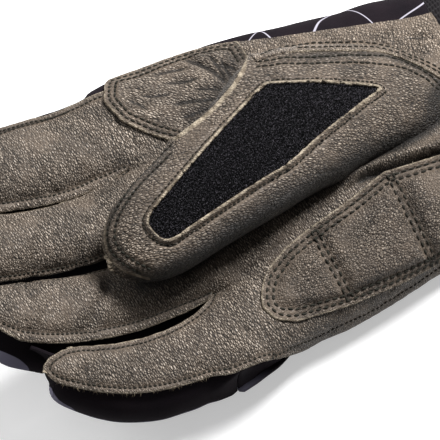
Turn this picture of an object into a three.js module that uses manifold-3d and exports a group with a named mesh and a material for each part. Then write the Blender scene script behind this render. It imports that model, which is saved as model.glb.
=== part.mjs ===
// A right-hand cross-country ski glove, lying on its back with the palm up and the thumb folded over it.
// Millimetres, +Z up. The fingers point to -X, the cuff to +X and the thumb side is +Y.
// Every panel is a sheet of real thickness, so the glove is hollow and open at the cuff.
import * as THREE from "three";
import { mergeVertices } from "three/addons/utils/BufferGeometryUtils.js";
import Module from "manifold-3d";

const wasm = await Module();
wasm.setup();

// Driving dimensions
const LEATHER = 1.5; // a leather panel with its lining
const FABRIC = 1.7; // the back fabric with its lining
const KNIT = 2; // the cuff
const PAD = 2.4; // the padded patch on the heel of the palm
const PATCH = 1.3; // the reinforcement at the thumb fork
const FLEECE = 1.6; // the wipe on the thumb
const FLEECE_DEPTH = 0.5; // how far the wipe lies below the leather round it
const SEAM_GAP = 0.3; // clearance between two panels that are sewn together
const SMALLEST = 0.08; // detail below this is dropped from a cut solid
const MID_HEIGHT = 14; // the hand's middle plane above the surface that it lies on
const WRIST_X = 120; // where the palm ends and the cuff begins
const CUFF_END_X = 166; // the open end of the glove
const HEM_X = 156; // where the hem of the cuff begins
const HEM_RAISE = 0.8; // how far the hem stands proud
const ROUNDNESS = 2.4; // superellipse exponent of the sections
const BACK_FLATNESS = 4; // the same for the half that lies on the surface
const SETTLE = 1.05; // how much further the back would hang if the surface didn't flatten it

// Where the fingers part, and the two outer ends of that line
const FINGER_LINE = [
  { name: "index_outside", x: 15, y: 61 },
  { name: "index_middle", x: 12, y: 30.5 },
  { name: "middle_ring", x: 10, y: 1 },
  { name: "ring_little", x: 19, y: -21.5 },
  { name: "little_outside", x: 17, y: -49.5 },
];

// Fingers: place of the tip, half widths at base and tip, length of the rounded tip, rise of the curled tip,
// sideways bow, and how far round the section the leather reaches on each side, in degrees from the top
const FINGERS = [
  {
    tipX: -61, tipY: 37.5, baseHalf: 16, tipHalf: 11.5,
    taper: 26, rise: 28, bow: -1.2, thumbEdge: 56, littleEdge: 74,
  },
  {
    tipX: -72, tipY: 14, baseHalf: 11.4, tipHalf: 11,
    taper: 26, rise: 31, bow: -1.2, thumbEdge: 74, littleEdge: 74,
  },
  {
    tipX: -54, tipY: -11.5, baseHalf: 11.9, tipHalf: 11,
    taper: 28, rise: 28, bow: -3, thumbEdge: 74, littleEdge: 64,
  },
  {
    tipX: -40, tipY: -33, baseHalf: 12.4, tipHalf: 9.8,
    taper: 28, rise: 20, bow: -4, thumbEdge: 74, littleEdge: 50,
  },
];
const FINGER_HALF = { base: 13, tip: 11.5 }; // half thickness of a finger
const CURL = 1.8; // exponent of the rise along a finger
const SPREAD = 0.2; // share of a finger over which the palm's width turns into the finger's
const PARTING_WALL = 0.8; // walls are skived to this where two fingers part
const HOLLOW_SHARE = 0.5; // the most of a section's half thickness that a wall takes at a rounded tip
const PARTING = 80; // how far round the leather reaches where two fingers part, in degrees
const PARTING_SHARE = 0.35; // share of a finger over which its leather edges leave that angle
const LEATHER_END = 0.97; // share of a finger that the leather covers, before the fabric of the tip

// The palm from the fingers to the cuff's end: its two sides, its crown, and how far round the leather
// reaches on each side, in degrees from the top
const PALM = [
  { x: 8, thumbSide: 61, littleSide: -50, crown: 27, thumbEdge: 62, littleEdge: 60 },
  { x: 30, thumbSide: 65, littleSide: -45, crown: 28, thumbEdge: 66, littleEdge: 96 },
  { x: 50, thumbSide: 66, littleSide: -41, crown: 29, thumbEdge: 62, littleEdge: 108 },
  { x: 70, thumbSide: 64, littleSide: -37, crown: 30, thumbEdge: 52, littleEdge: 110 },
  { x: 95, thumbSide: 61, littleSide: -31, crown: 30, thumbEdge: 43, littleEdge: 110 },
  { x: 120, thumbSide: 58, littleSide: -26, crown: 29, thumbEdge: 38, littleEdge: 110 },
  { x: 166, thumbSide: 60, littleSide: -28, crown: 31, thumbEdge: 38, littleEdge: 110 },
];
const KNUCKLES = 0.32; // share of the palm over which the finger shapes fade out

// The thumb's middle line with its half width and half thickness, from the tip to its root inside the palm
const THUMB = [
  { x: -9, y: -8.3, z: 38, half: 14.5, thick: 8.5 },
  { x: 4, y: -4.5, z: 39, half: 15.8, thick: 9.5 },
  { x: 20, y: 1.8, z: 40, half: 18.3, thick: 10.5 },
  { x: 40, y: 9.5, z: 40, half: 21.8, thick: 11.5 },
  { x: 60, y: 18, z: 36.5, half: 24.6, thick: 13 },
  { x: 80, y: 19.8, z: 30, half: 22, thick: 13.5 },
  { x: 100, y: 18.3, z: 21.5, half: 18.8, thick: 13 },
  { x: 118, y: 17, z: 12, half: 17, thick: 13 },
];
const THUMB_TAPER = 20; // length of the rounded tip
const THUMB_ROUNDNESS = 2.2;
const THUMB_LEATHER = { seamSide: 78, lowSide: 118 }; // how far round the outer panel reaches, in degrees

// Outlines in plan. Each corner is rounded with its own radius.
const WINDOW = [
  { x: 2, y: -4, radius: 5 },
  { x: 55, y: 27.5, radius: 4 },
  { x: 94, y: 17, radius: 1.5 },
  { x: 52, y: -3.5, radius: 40 },
  { x: 6, y: -15.5, radius: 6 },
];
const WINDOW_LIP = 1.4; // width of the turned leather round the wipe
const PAD_OUTLINE = [
  { x: 30, y: -24.5, radius: 9 },
  { x: 80, y: -5, radius: 12 },
  { x: 107, y: -7.5, radius: 6 },
  { x: 108, y: -23, radius: 8 },
  { x: 60, y: -38, radius: 30 },
  { x: 31.5, y: -40.5, radius: 8 },
];
const PATCH_OUTLINE = [
  { x: 14, y: 72, radius: 1 },
  { x: 14, y: 43, radius: 9 },
  { x: 27, y: 31, radius: 6 },
  { x: 44, y: 22, radius: 1 },
  { x: 62, y: 40, radius: 1 },
  { x: 62, y: 72, radius: 1 },
];
const BASE_PANEL_OUTLINE = [
  { x: 63, y: 80, radius: 1 },
  { x: 63, y: 36, radius: 1 },
  { x: 96, y: 26, radius: 20 },
  { x: 106, y: 8, radius: 12 },
  { x: 130, y: -2, radius: 1 },
  { x: 130, y: 80, radius: 1 },
];

const lerp = THREE.MathUtils.lerp;
const clamp = THREE.MathUtils.clamp;
const radians = THREE.MathUtils.degToRad;
const degrees = THREE.MathUtils.radToDeg;
const smooth = (edge, value) => THREE.MathUtils.smoothstep(value, 0, edge);
const power = (value, exponent) => Math.sign(value) * Math.abs(value) ** (2 / exponent);
const steps = (count, from, to) => Array.from({ length: count + 1 }, (_, i) => lerp(from, to, i / count));

// One column of a table at a place, along a smooth curve through its rows.
function column(table, name, place) {
  let i = 0;
  while (i < table.length - 2 && place > table[i + 1].x) i++;
  const row = (k) => table[clamp(k, 0, table.length - 1)];
  const [a, b, c, d] = [row(i - 1), row(i), row(i + 1), row(i + 2)];
  const span = c.x - b.x;
  const share = clamp((place - b.x) / span, 0, 1);
  const slope = (p, q) => (p === q ? 0 : ((q[name] - p[name]) / (q.x - p.x)) * span);
  const start = 2 * share ** 3 - 3 * share ** 2 + 1;
  const leave = share ** 3 - 2 * share ** 2 + share;
  const arrive = share ** 3 - share ** 2;
  return start * b[name] + leave * slope(a, c) + (1 - start) * c[name] + arrive * slope(b, d);
}

// How much of a section is left at a distance past the start of a rounded tip.
const ROUND_TIP = 2.2;
const BLUNT_TIP = 4;
function roundedTip(distance, taper, bluntness) {
  return Math.sqrt(Math.max(0, 1 - clamp(distance / taper, 0, 1) ** bluntness));
}

// A finger's section at share f of its length: its middle, the way to its thumb-side wall, its half thickness
// and the most that its wall may take.
function fingerSection(k, f) {
  const finger = FINGERS[k];
  const [left, right] = [FINGER_LINE[k], FINGER_LINE[k + 1]];
  const middle = new THREE.Vector3((left.x + right.x) / 2, (left.y + right.y) / 2, MID_HEIGHT);
  const along = new THREE.Vector3(finger.tipX - middle.x, finger.tipY - middle.y, 0);
  const length = along.length();
  const across = new THREE.Vector3(-along.y, along.x, 0).divideScalar(-length);
  middle.addScaledVector(along, f).addScaledVector(across, finger.bow * 4 * f * (1 - f));
  middle.z += finger.rise * f ** CURL;
  const pastTaper = f * length - (length - finger.taper);
  const round = roundedTip(pastTaper, finger.taper, ROUND_TIP);
  const blunt = roundedTip(pastTaper, finger.taper, BLUNT_TIP);
  const halfLine = new THREE.Vector3((left.x - right.x) / 2, (left.y - right.y) / 2, 0);
  const wide = lerp(finger.baseHalf, finger.tipHalf, f) * round;
  return {
    middle,
    way: halfLine.lerp(across.multiplyScalar(wide), smooth(SPREAD, f)),
    half: lerp(FINGER_HALF.base, FINGER_HALF.tip, f) * blunt,
    wall: Math.min(HOLLOW_SHARE * FINGER_HALF.tip * round, lerp(PARTING_WALL, FABRIC, smooth(SPREAD, f))),
  };
}

const isOuterWall = (k, side) => (k === 0 && side > 0) || (k === FINGERS.length - 1 && side < 0);

// How far round the section the leather reaches on one side of a finger; side is 1 for the thumb side.
function leatherEdge(k, f, side) {
  const full = side > 0 ? FINGERS[k].thumbEdge : FINGERS[k].littleEdge;
  return isOuterWall(k, side) ? full : lerp(PARTING, full, smooth(PARTING_SHARE, f));
}

// A point of a finger's skin, at an angle from the top towards the thumb side.
function fingerPoint(k, f, angle) {
  const section = fingerSection(k, f);
  const lateral = power(Math.sin(radians(angle)), ROUNDNESS);
  const inner = Math.sin(radians(PARTING)) ** (2 / ROUNDNESS);
  const reach = lerp(inner, 1, smooth(SPREAD, f)); // where two fingers part their walls meet in one line
  const held = clamp(lateral, -reach, reach) / reach;
  const point = section.middle.clone().addScaledVector(section.way, held);
  point.z += power(Math.cos(radians(angle)), ROUNDNESS) * section.half;
  point.wall = section.wall;
  return point;
}

// A point of the palm's and the cuff's skin at x, at an angle from the top towards the thumb side.
function palmPoint(x, angle) {
  const [thumbSide, littleSide] = [column(PALM, "thumbSide", x), column(PALM, "littleSide", x)];
  const top = Math.cos(radians(angle)) >= 0;
  const exponent = top ? ROUNDNESS : BACK_FLATNESS;
  const lateral = power(Math.sin(radians(angle)), exponent);
  const vertical = power(Math.cos(radians(angle)), exponent);
  const y = (thumbSide + littleSide) / 2 + (lateral * (thumbSide - littleSide)) / 2;
  const z = MID_HEIGHT + vertical * (top ? column(PALM, "crown", x) - MID_HEIGHT : MID_HEIGHT * SETTLE);
  return new THREE.Vector3(x, y, Math.max(0, z));
}

// The angle at which the palm's section passes a point of the finger line.
function palmAngle(point) {
  const [thumbSide, littleSide] = [column(PALM, "thumbSide", point.x), column(PALM, "littleSide", point.x)];
  const share = clamp((point.y - (thumbSide + littleSide) / 2) / ((thumbSide - littleSide) / 2), -1, 1);
  return degrees(Math.asin(power(share, 4 / ROUNDNESS)));
}

// A point of the thumb's skin at x, at an angle from the top towards the seam at the fork.
function thumbPoint(x, angle) {
  const at = (place) => new THREE.Vector3(place, column(THUMB, "y", place), column(THUMB, "z", place));
  const tip = THUMB[0].x;
  const round = roundedTip(tip + THUMB_TAPER - x, THUMB_TAPER, ROUND_TIP);
  const along = at(x + 1).sub(at(x - 1)).normalize();
  const across = new THREE.Vector3(-along.y, along.x, 0).normalize();
  const upward = new THREE.Vector3().crossVectors(along, across);
  const point = at(x);
  const half = column(THUMB, "half", x) * round;
  const thick = column(THUMB, "thick", x) * round;
  point.addScaledVector(across, power(Math.sin(radians(angle)), THUMB_ROUNDNESS) * half);
  point.addScaledVector(upward, power(Math.cos(radians(angle)), THUMB_ROUNDNESS) * thick);
  point.wall = HOLLOW_SHARE * thick;
  return point;
}

// An open sheet of points and faces, which becomes a solid wall on its inner side.
class Sheet {
  constructor() {
    this.points = [];
    this.faces = [];
    this.known = new Map();
  }
  vertex(point) {
    const key = [point.x, point.y, point.z].map((value) => Math.round(value * 1000)).join();
    if (!this.known.has(key)) {
      this.known.set(key, this.points.length);
      this.points.push(point);
    }
    return this.known.get(key);
  }
  face(a, b, c) {
    if (a !== b && b !== c && c !== a) this.faces.push([a, b, c]);
  }
  grid(rows) {
    const id = rows.map((row) => row.map((point) => this.vertex(point)));
    for (let i = 0; i < id.length - 1; i++)
      for (let j = 0; j < id[i].length - 1; j++) {
        this.face(id[i][j], id[i][j + 1], id[i + 1][j + 1]);
        this.face(id[i][j], id[i + 1][j + 1], id[i + 1][j]);
      }
    return this;
  }
  normals() {
    const sums = this.points.map(() => new THREE.Vector3());
    for (const corners of this.faces) {
      const [a, b, c] = corners.map((corner) => this.points[corner]);
      const cross = b.clone().sub(a).cross(c.clone().sub(a));
      for (const corner of corners) sums[corner].add(cross);
    }
    return sums.map((sum) => sum.normalize());
  }
  rim() {
    const edges = new Map();
    for (const [a, b, c] of this.faces)
      for (const [p, q] of [[a, b], [b, c], [c, a]])
        if (!edges.delete(q + "," + p)) edges.set(p + "," + q, [p, q]);
    return edges.values();
  }
  // A closed solid between the sheet and its copy, where move gives the two places of each point.
  thicken(move) {
    const moved = this.points.map(move);
    const count = moved.length;
    const triangles = [];
    for (const [a, b, c] of this.faces) triangles.push(a, b, c, a + count, c + count, b + count);
    for (const [p, q] of this.rim()) triangles.push(q, p, p + count, q, p + count, q + count);
    return solidOf([...moved.map((pair) => pair[0]), ...moved.map((pair) => pair[1])], triangles);
  }
  // The wall from raise above the sheet down to thickness below that, grown on both faces.
  wall(thickness, raise = 0, grow = 0) {
    const normals = this.normals();
    return this.thicken((point, i) => {
      const deep = point.wall === undefined ? thickness : Math.min(thickness, point.wall);
      const move = (distance) => point.clone().addScaledVector(normals[i], distance);
      return [move(raise + grow), move(raise - deep - grow)];
    });
  }
  // The inside of a closed sheet, grown by a distance.
  filled(grow) {
    const normals = this.normals();
    const grown = this.points.map((point, i) => point.clone().addScaledVector(normals[i], grow));
    return solidOf(grown, this.faces.flat());
  }
  // Everything from raise above the sheet straight down to a level.
  below(level, raise) {
    return this.thicken((point) => [
      new THREE.Vector3(point.x, point.y, point.z + raise),
      new THREE.Vector3(point.x, point.y, level),
    ]);
  }
}

function solidOf(points, triangles) {
  const vertProperties = new Float32Array(points.flatMap((point) => [point.x, point.y, point.z]));
  const triVerts = new Uint32Array(triangles);
  return new wasm.Manifold(new wasm.Mesh({ numProp: 3, vertProperties, triVerts }));
}

// A closed curve in plan round a table of corners with their radii, widened by a distance.
const SHARP_RADIUS = 2; // a corner below this stays a chamfer
const ROUND_STEPS = 5;
const EDGE_SHARE = 0.48; // the most of an edge that the rounding of its corner takes
function outlineShape(table, widen = 0) {
  const count = table.length;
  const given = table.map((corner) => new THREE.Vector2(corner.x, corner.y));
  const turn = Math.sign(THREE.ShapeUtils.area(given));
  const outward = (p, q) => new THREE.Vector2(q.y - p.y, p.x - q.x).normalize().multiplyScalar(turn);
  const corners = given.map((here, i) => {
    const before = outward(given[(i + count - 1) % count], here);
    const after = outward(here, given[(i + 1) % count]);
    return here.clone().addScaledVector(before.clone().add(after), widen / (1 + before.dot(after)));
  });
  const points = corners.flatMap((here, i) => {
    const back = corners[(i + count - 1) % count].clone().sub(here);
    const ahead = corners[(i + 1) % count].clone().sub(here);
    const wanted = Math.max(0.5, table[i].radius + widen) / Math.tan(back.angleTo(ahead) / 2);
    const reach = Math.min(wanted, EDGE_SHARE * back.length(), EDGE_SHARE * ahead.length());
    const [from, to] = [back.setLength(reach).add(here), ahead.setLength(reach).add(here)];
    const curve = new THREE.QuadraticBezierCurve(from, here, to);
    return curve.getPoints(table[i].radius > SHARP_RADIUS ? ROUND_STEPS : 1);
  });
  return new THREE.Shape(points);
}

// The upright prism of an outline, from below the surface to above the thumb.
const PRISM = { bottom: -10, height: 90 };
function prism(corners, widen = 0) {
  const shape = outlineShape(corners, widen);
  const geometry = new THREE.ExtrudeGeometry(shape, { depth: PRISM.height, bevelEnabled: false });
  geometry.translate(0, 0, PRISM.bottom);
  geometry.deleteAttribute("normal");
  geometry.deleteAttribute("uv");
  const merged = mergeVertices(geometry, 1e-4);
  const vertProperties = merged.attributes.position.array;
  return new wasm.Manifold(new wasm.Mesh({ numProp: 3, vertProperties, triVerts: merged.index.array }));
}

// The largest body of a cut solid: slivers that a cut leaves at a seam are dropped.
function largest(solid) {
  return solid.decompose().reduce((best, body) => (body.volume() > best.volume() ? body : best));
}

const FINGER_STEPS = [0, 0.12, 0.28, 0.48, 0.68, 0.86, LEATHER_END];
const TIP_STEPS = [LEATHER_END, 0.99, 1];
const TIP_COLUMNS = 5; // steps across the upper side of a tip
const TIP_GAP = 0.005; // share of a finger between the leather's end and the fabric of the tip
const COLUMNS = 6; // steps across one finger
const SIDE_COLUMNS = 2; // steps up one side wall
const VALLEY_PASSES = 3; // how often the heights along the finger line are eased
const PALM_ROWS = 8; // steps from the fingers to the wrist
const THUMB_ROWS = 16; // steps along the thumb, closer together towards its tip
const THUMB_CROWDING = 1.4;
const THUMB_STEP = 18; // degrees between two columns of the thumb

// The angle that leaves the seam gap to an edge, measured along the section.
const EDGE_GAP = 0.35;
const WIDEST_GAP = 20; // degrees
function gapAngle(point, angle) {
  const speed = point(angle + 1).distanceTo(point(angle - 1)) / 2;
  return Math.min(WIDEST_GAP, EDGE_GAP / Math.max(speed, 1e-3));
}
function fingerGap(k, f, side) {
  return gapAngle((angle) => fingerPoint(k, f, angle), side * leatherEdge(k, f, side));
}
function palmGap(name, x, side) {
  return gapAngle((angle) => palmPoint(x, angle), side * column(PALM, name, x));
}

// Heights along the finger line with the sharp valleys between the fingers eased.
function softened(heights) {
  const last = heights.length - 1;
  let eased = heights;
  for (let pass = 0; pass < VALLEY_PASSES; pass++)
    eased = eased.map((z, j) => (eased[Math.max(0, j - 1)] + 2 * z + eased[Math.min(last, j + 1)]) / 4);
  return eased;
}

// The rows of a sheet from the finger line to the wrist. The angles run from those of the front row to evenly
// spread ones, and the shape fades from the fingers to the palm.
function palmRows(front, startAngle, endAngle) {
  const fronts = front.map((point) => point.palmAngle);
  const range = fronts[fronts.length - 1] - fronts[0];
  const heights = softened(front.map((point) => point.z));
  return steps(PALM_ROWS, 0, 1).map((g) =>
    front.map((point, j) => {
      if (g === 0) return point;
      const x = lerp(point.x, WRIST_X - SEAM_GAP / 2, g);
      const fade = smooth(KNUCKLES, g);
      const target = lerp(startAngle(x), endAngle(x), (fronts[j] - fronts[0]) / range);
      const palm = palmPoint(x, lerp(fronts[j], target, fade));
      palm.y = lerp(point.y, palm.y, fade);
      palm.z = lerp(heights[j], palm.z, fade);
      return palm;
    }),
  );
}

// The skin of the palm: four finger strips and the palm down to the wrist, no further round than widest.
// A skin that cuts its neighbours is widened over the seam gap.
function palmSheet({ widest = 180, widened = 0 } = {}) {
  const sheet = new Sheet();
  const front = [];
  FINGERS.forEach((_, k) => {
    const strip = FINGER_STEPS.map((step) => {
      const f = Math.min(step, LEATHER_END - TIP_GAP * (1 - widened));
      const edge = (side) => side * (leatherEdge(k, f, side) + widened * fingerGap(k, f, side));
      return steps(COLUMNS, edge(-1), edge(1)).map((angle) => fingerPoint(k, f, angle));
    });
    sheet.grid(strip);
    const row = strip[0].slice().reverse();
    front.push(...(k ? row.slice(1) : row));
  });
  for (const point of front) point.palmAngle = palmAngle(point);
  const reach = (name, x, side) => column(PALM, name, x) + widened * palmGap(name, x, side);
  const edge = (name, side) => (x) => side * Math.min(widest, reach(name, x, side));
  sheet.grid(palmRows(front, edge("thumbEdge", 1), edge("littleEdge", -1)));
  return sheet;
}

// The skin of the back: the undersides of the fingers, their tips, the two outer walls and the back itself.
function backSheet({ widened = 0 } = {}) {
  const sheet = new Sheet();
  const front = [];
  FINGERS.forEach((_, k) => {
    const underside = (f) => {
      const start = (side) => leatherEdge(k, f, side) + (1 - widened) * fingerGap(k, f, side);
      const stop = (side) => 180 - leatherEdge(k, f, side) - widened * fingerGap(k, f, side);
      const across = steps(COLUMNS, stop(1), 360 - stop(-1));
      const thumbWall = steps(SIDE_COLUMNS, start(1), stop(1)).slice(0, -1);
      const littleWall = steps(SIDE_COLUMNS, 360 - stop(-1), 360 - start(-1)).slice(1);
      return [...(isOuterWall(k, 1) ? thumbWall : []), ...across, ...(isOuterWall(k, -1) ? littleWall : [])];
    };
    const strip = FINGER_STEPS.map((f) => underside(f).map((angle) => fingerPoint(k, f, angle)));
    sheet.grid(strip);
    const open = underside(LEATHER_END);
    const rest = steps(TIP_COLUMNS, open[open.length - 1], open[0] + 360).slice(1);
    sheet.grid(TIP_STEPS.map((f) => [...open, ...rest].map((angle) => fingerPoint(k, f, angle))));
    front.push(...(k ? strip[0].slice(1) : strip[0]));
  });
  front.reverse();
  const [first, last] = [360 - leatherEdge(FINGERS.length - 1, 0, -1), leatherEdge(0, 0, 1)];
  front.forEach((point, j) => (point.palmAngle = lerp(first, last, j / (front.length - 1))));
  const edge = (name, side) => (x) => column(PALM, name, x) + (1 - widened) * palmGap(name, x, side);
  sheet.grid(palmRows(front, (x) => 360 - edge("littleEdge", -1)(x), edge("thumbEdge", 1)));
  return sheet;
}

// The side walls between finger k and the next one, out along one finger and back along the other.
const FOURCHETTE_GAP = 1.4; // share of the seam gap at its long edges
function fourchetteSheet(k) {
  const wall = (finger, f, side) => {
    const edge = leatherEdge(finger, f, side) + FOURCHETTE_GAP * fingerGap(finger, f, side);
    return steps(SIDE_COLUMNS, edge, 180 - edge).map((angle) => fingerPoint(finger, f, side * angle));
  };
  const out = FINGER_STEPS.map((step) => Math.min(step, LEATHER_END - TIP_GAP));
  const outward = out.slice().reverse().map((f) => wall(k, f, -1));
  const back = out.slice(1).map((f) => wall(k + 1, f, 1));
  return new Sheet().grid([...outward, ...back]);
}

// The thumb's skin between two angles, from its root to startX.
function thumbSheet(from, to, startX = THUMB[0].x) {
  const root = THUMB[THUMB.length - 1].x;
  const rows = steps(THUMB_ROWS, 1, 0).map((share) => {
    const x = Math.max(startX, lerp(THUMB[0].x, root, share ** THUMB_CROWDING));
    return steps(Math.round((to - from) / THUMB_STEP), from, to).map((angle) => thumbPoint(x, angle));
  });
  return new Sheet().grid(rows);
}

// The whole thumb as a closed body, for cutting what it touches.
function thumbBody(grow) {
  const sheet = thumbSheet(-180, 180);
  const root = THUMB[THUMB.length - 1];
  const middle = sheet.vertex(new THREE.Vector3(root.x, root.y, root.z));
  for (const [p, q] of [...sheet.rim()]) sheet.face(q, p, middle);
  return sheet.filled(grow);
}

// The cuff's skin, with its hem standing proud on its upper half.
const CUFF_STEPS = 3; // steps from the wrist to the hem
const CUFF_COLUMNS = 28; // steps round it
const HEM_SLOPE = 0.8; // length over which the hem rises
function cuffSheet() {
  const plain = steps(CUFF_STEPS, WRIST_X + SEAM_GAP / 2, HEM_X);
  const rows = [...plain, HEM_X + HEM_SLOPE, CUFF_END_X].map((x) =>
    steps(CUFF_COLUMNS, 180, -180).map((angle) => {
      const point = palmPoint(x, angle);
      if (x > HEM_X) point.z += HEM_RAISE * Math.max(0, Math.cos(radians(angle)));
      return point;
    }),
  );
  return new Sheet().grid(rows);
}

// What cuts a neighbour of a sheet: its wall with the seam gap on its faces, and on its edges too.
function cutter(sheet, widenedSheet, thickness) {
  return sheet.wall(thickness, 0, SEAM_GAP).add(widenedSheet.wall(thickness, 0, SEAM_GAP));
}

const LEATHER_LOOK = { color: 0x73695c, roughness: 0.62 };
const FABRIC_LOOK = { color: 0x1d1a20, roughness: 0.8 };
const FLEECE_LOOK = { color: 0x0c0c0d, roughness: 1 };
const KNIT_LOOK = { color: 0x141316, roughness: 0.9 };

const pieces = [];
function piece(name, solid, look) {
  pieces.push({ name, look, solid: largest(solid.simplify(SMALLEST)) });
}

const palmSkin = palmSheet();
const backSkin = backSheet();
const palmWall = palmSkin.wall(LEATHER);
const palmGrown = cutter(palmSkin, palmSheet({ widened: 1 }), LEATHER);
const backGrown = cutter(backSkin, backSheet({ widened: 1 }), FABRIC);
const thumbGrown = thumbBody(SEAM_GAP);

// The palm, open where the thumb's hollow meets it, and the panel beside the thumb
const palmOpen = palmWall.subtract(thumbBody(-LEATHER));
piece("palm_leather", palmOpen.subtract(prism(BASE_PANEL_OUTLINE, SEAM_GAP)), LEATHER_LOOK);
const basePanel = palmWall.intersect(prism(BASE_PANEL_OUTLINE));
piece("thumb_base_panel", basePanel.subtract(thumbGrown), LEATHER_LOOK);

// The back, and the strips between the fingers
piece("back_shell", backSkin.wall(FABRIC).subtract(palmGrown), FABRIC_LOOK);
["index_middle", "middle_ring", "ring_little"].forEach((name, k) => {
  const strip = fourchetteSheet(k).wall(FABRIC);
  piece("fourchette_" + name, strip.subtract(palmGrown).subtract(backGrown), FABRIC_LOOK);
});

// The thumb's two panels, sewn down onto the palm, and the wipe in the window of the upper one
const UPPER_HALF = 88; // degrees from the top of a palm section that face upwards
const BELOW_FLOOR = -5;
const THUMB_SEAM = { angle: 1.5, tip: 1 }; // the gap between the two panels, in degrees and along the tip
const { seamSide, lowSide } = THUMB_LEATHER;
const underHand = palmSheet({ widest: UPPER_HALF }).below(BELOW_FLOOR, SEAM_GAP);
const upperSkin = thumbSheet(-lowSide, seamSide);
const lowerAngles = [seamSide + THUMB_SEAM.angle, 360 - lowSide - THUMB_SEAM.angle];
const lowerSkin = thumbSheet(...lowerAngles, THUMB[0].x + THUMB_SEAM.tip);
const upperWall = upperSkin.wall(LEATHER).subtract(underHand);
const lowerWall = lowerSkin.wall(LEATHER).subtract(underHand);
piece("thumb_leather", upperWall.subtract(prism(WINDOW, -WINDOW_LIP)), LEATHER_LOOK);
const upperWidened = thumbSheet(-lowSide - THUMB_SEAM.angle, seamSide + THUMB_SEAM.angle);
piece("thumb_back", lowerWall.subtract(cutter(upperSkin, upperWidened, LEATHER)), LEATHER_LOOK);
const wipeSlab = upperSkin.wall(FLEECE, -FLEECE_DEPTH);
piece("thumb_wipe", wipeSlab.intersect(prism(WINDOW, -WINDOW_LIP - SEAM_GAP)), FLEECE_LOOK);

// What is sewn on top of the palm
const patchSlab = palmSkin.wall(PATCH, SEAM_GAP + PATCH);
piece("index_patch", patchSlab.intersect(prism(PATCH_OUTLINE)).subtract(thumbGrown), LEATHER_LOOK);
const padSlab = palmSkin.wall(PAD, SEAM_GAP + PAD);
piece("palm_pad", padSlab.intersect(prism(PAD_OUTLINE)).subtract(thumbGrown), LEATHER_LOOK);

piece("cuff", cuffSheet().wall(KNIT), KNIT_LOOK);

// The scene graph: one mesh for each piece, standing over the middle of its box
const glove = new THREE.Group();
for (const { name, look, solid } of pieces) {
  const mesh = solid.getMesh();
  const geometry = new THREE.BufferGeometry();
  geometry.setAttribute("position", new THREE.BufferAttribute(mesh.vertProperties, 3));
  geometry.setIndex(new THREE.BufferAttribute(mesh.triVerts, 1));
  geometry.computeVertexNormals();
  const part = new THREE.Mesh(geometry, new THREE.MeshStandardMaterial(look));
  part.name = name;
  glove.add(part);
}
const box = new THREE.Box3().setFromObject(glove);
const centre = box.getCenter(new THREE.Vector3());
glove.position.set(-centre.x, -centre.y, -box.min.z);

export default glove;
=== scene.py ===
import itertools
from math import cos, pi, radians, sin

import bpy
import numpy as np
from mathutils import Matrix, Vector
from mathutils.bvhtree import BVHTree
from mathutils.kdtree import KDTree


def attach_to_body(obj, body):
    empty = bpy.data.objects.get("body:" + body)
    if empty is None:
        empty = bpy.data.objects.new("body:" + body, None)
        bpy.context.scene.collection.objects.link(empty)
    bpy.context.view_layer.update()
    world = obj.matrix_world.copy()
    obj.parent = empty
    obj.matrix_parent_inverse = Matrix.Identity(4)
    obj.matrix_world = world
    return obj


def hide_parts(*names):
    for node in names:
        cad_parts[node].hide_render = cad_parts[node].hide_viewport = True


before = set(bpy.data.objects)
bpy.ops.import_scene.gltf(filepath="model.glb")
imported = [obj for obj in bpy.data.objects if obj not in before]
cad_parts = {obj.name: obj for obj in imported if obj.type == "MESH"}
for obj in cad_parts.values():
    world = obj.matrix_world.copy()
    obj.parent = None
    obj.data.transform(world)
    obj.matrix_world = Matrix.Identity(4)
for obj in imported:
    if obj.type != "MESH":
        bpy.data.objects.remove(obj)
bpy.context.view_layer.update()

# The glove is drawn in its own frame, in millimetres: fingers to -X, thumb side +Y, the surface at z = 0.
# This is the middle of the CAD box in that frame.
MIDDLE = np.array([47.0573, 8.0612, 0.0])
MM = 0.001


def metres(points):
    return (np.asarray(points, float) - MIDDLE) * MM


# Camera: a long lens from the little-finger side, 60 degrees above the surface
CAMERA_TARGET = np.array([30.0, 0.0, 25.0])
CAMERA_AZIMUTH = radians(-22.0)
CAMERA_ELEVATION = radians(60.0)
CAMERA_DISTANCE = 800.0
LENS = 216.0
SENSOR = 36.0
PICTURE = 440.0
RIGHT = np.array([cos(CAMERA_AZIMUTH), sin(CAMERA_AZIMUTH), 0.0])
BACK = np.array([sin(CAMERA_AZIMUTH), -cos(CAMERA_AZIMUTH), 0.0]) * cos(CAMERA_ELEVATION)
BACK[2] = sin(CAMERA_ELEVATION)
UP = np.cross(BACK, RIGHT)
CAMERA_PLACE = CAMERA_TARGET + BACK * CAMERA_DISTANCE
FOCUS = PICTURE * LENS / SENSOR


def in_view(points):
    """Where points show in the picture, to the right and down, for outlines drawn as they are seen."""
    gap = points - CAMERA_PLACE
    scale = FOCUS / -(gap @ BACK)
    return PICTURE / 2 + np.stack([gap @ RIGHT, -(gap @ UP)], axis=1) * scale[:, None]


def add_camera():
    data = bpy.data.cameras.new("camera")
    data.lens = LENS
    data.sensor_width = SENSOR
    data.clip_start = 0.01
    data.clip_end = 20.0
    camera = bpy.data.objects.new("camera", data)
    bpy.context.collection.objects.link(camera)
    camera.location = metres(CAMERA_PLACE)
    camera.rotation_euler = Vector(-BACK).to_track_quat("-Z", "Y").to_euler()
    bpy.context.scene.camera = camera


add_camera()

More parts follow.
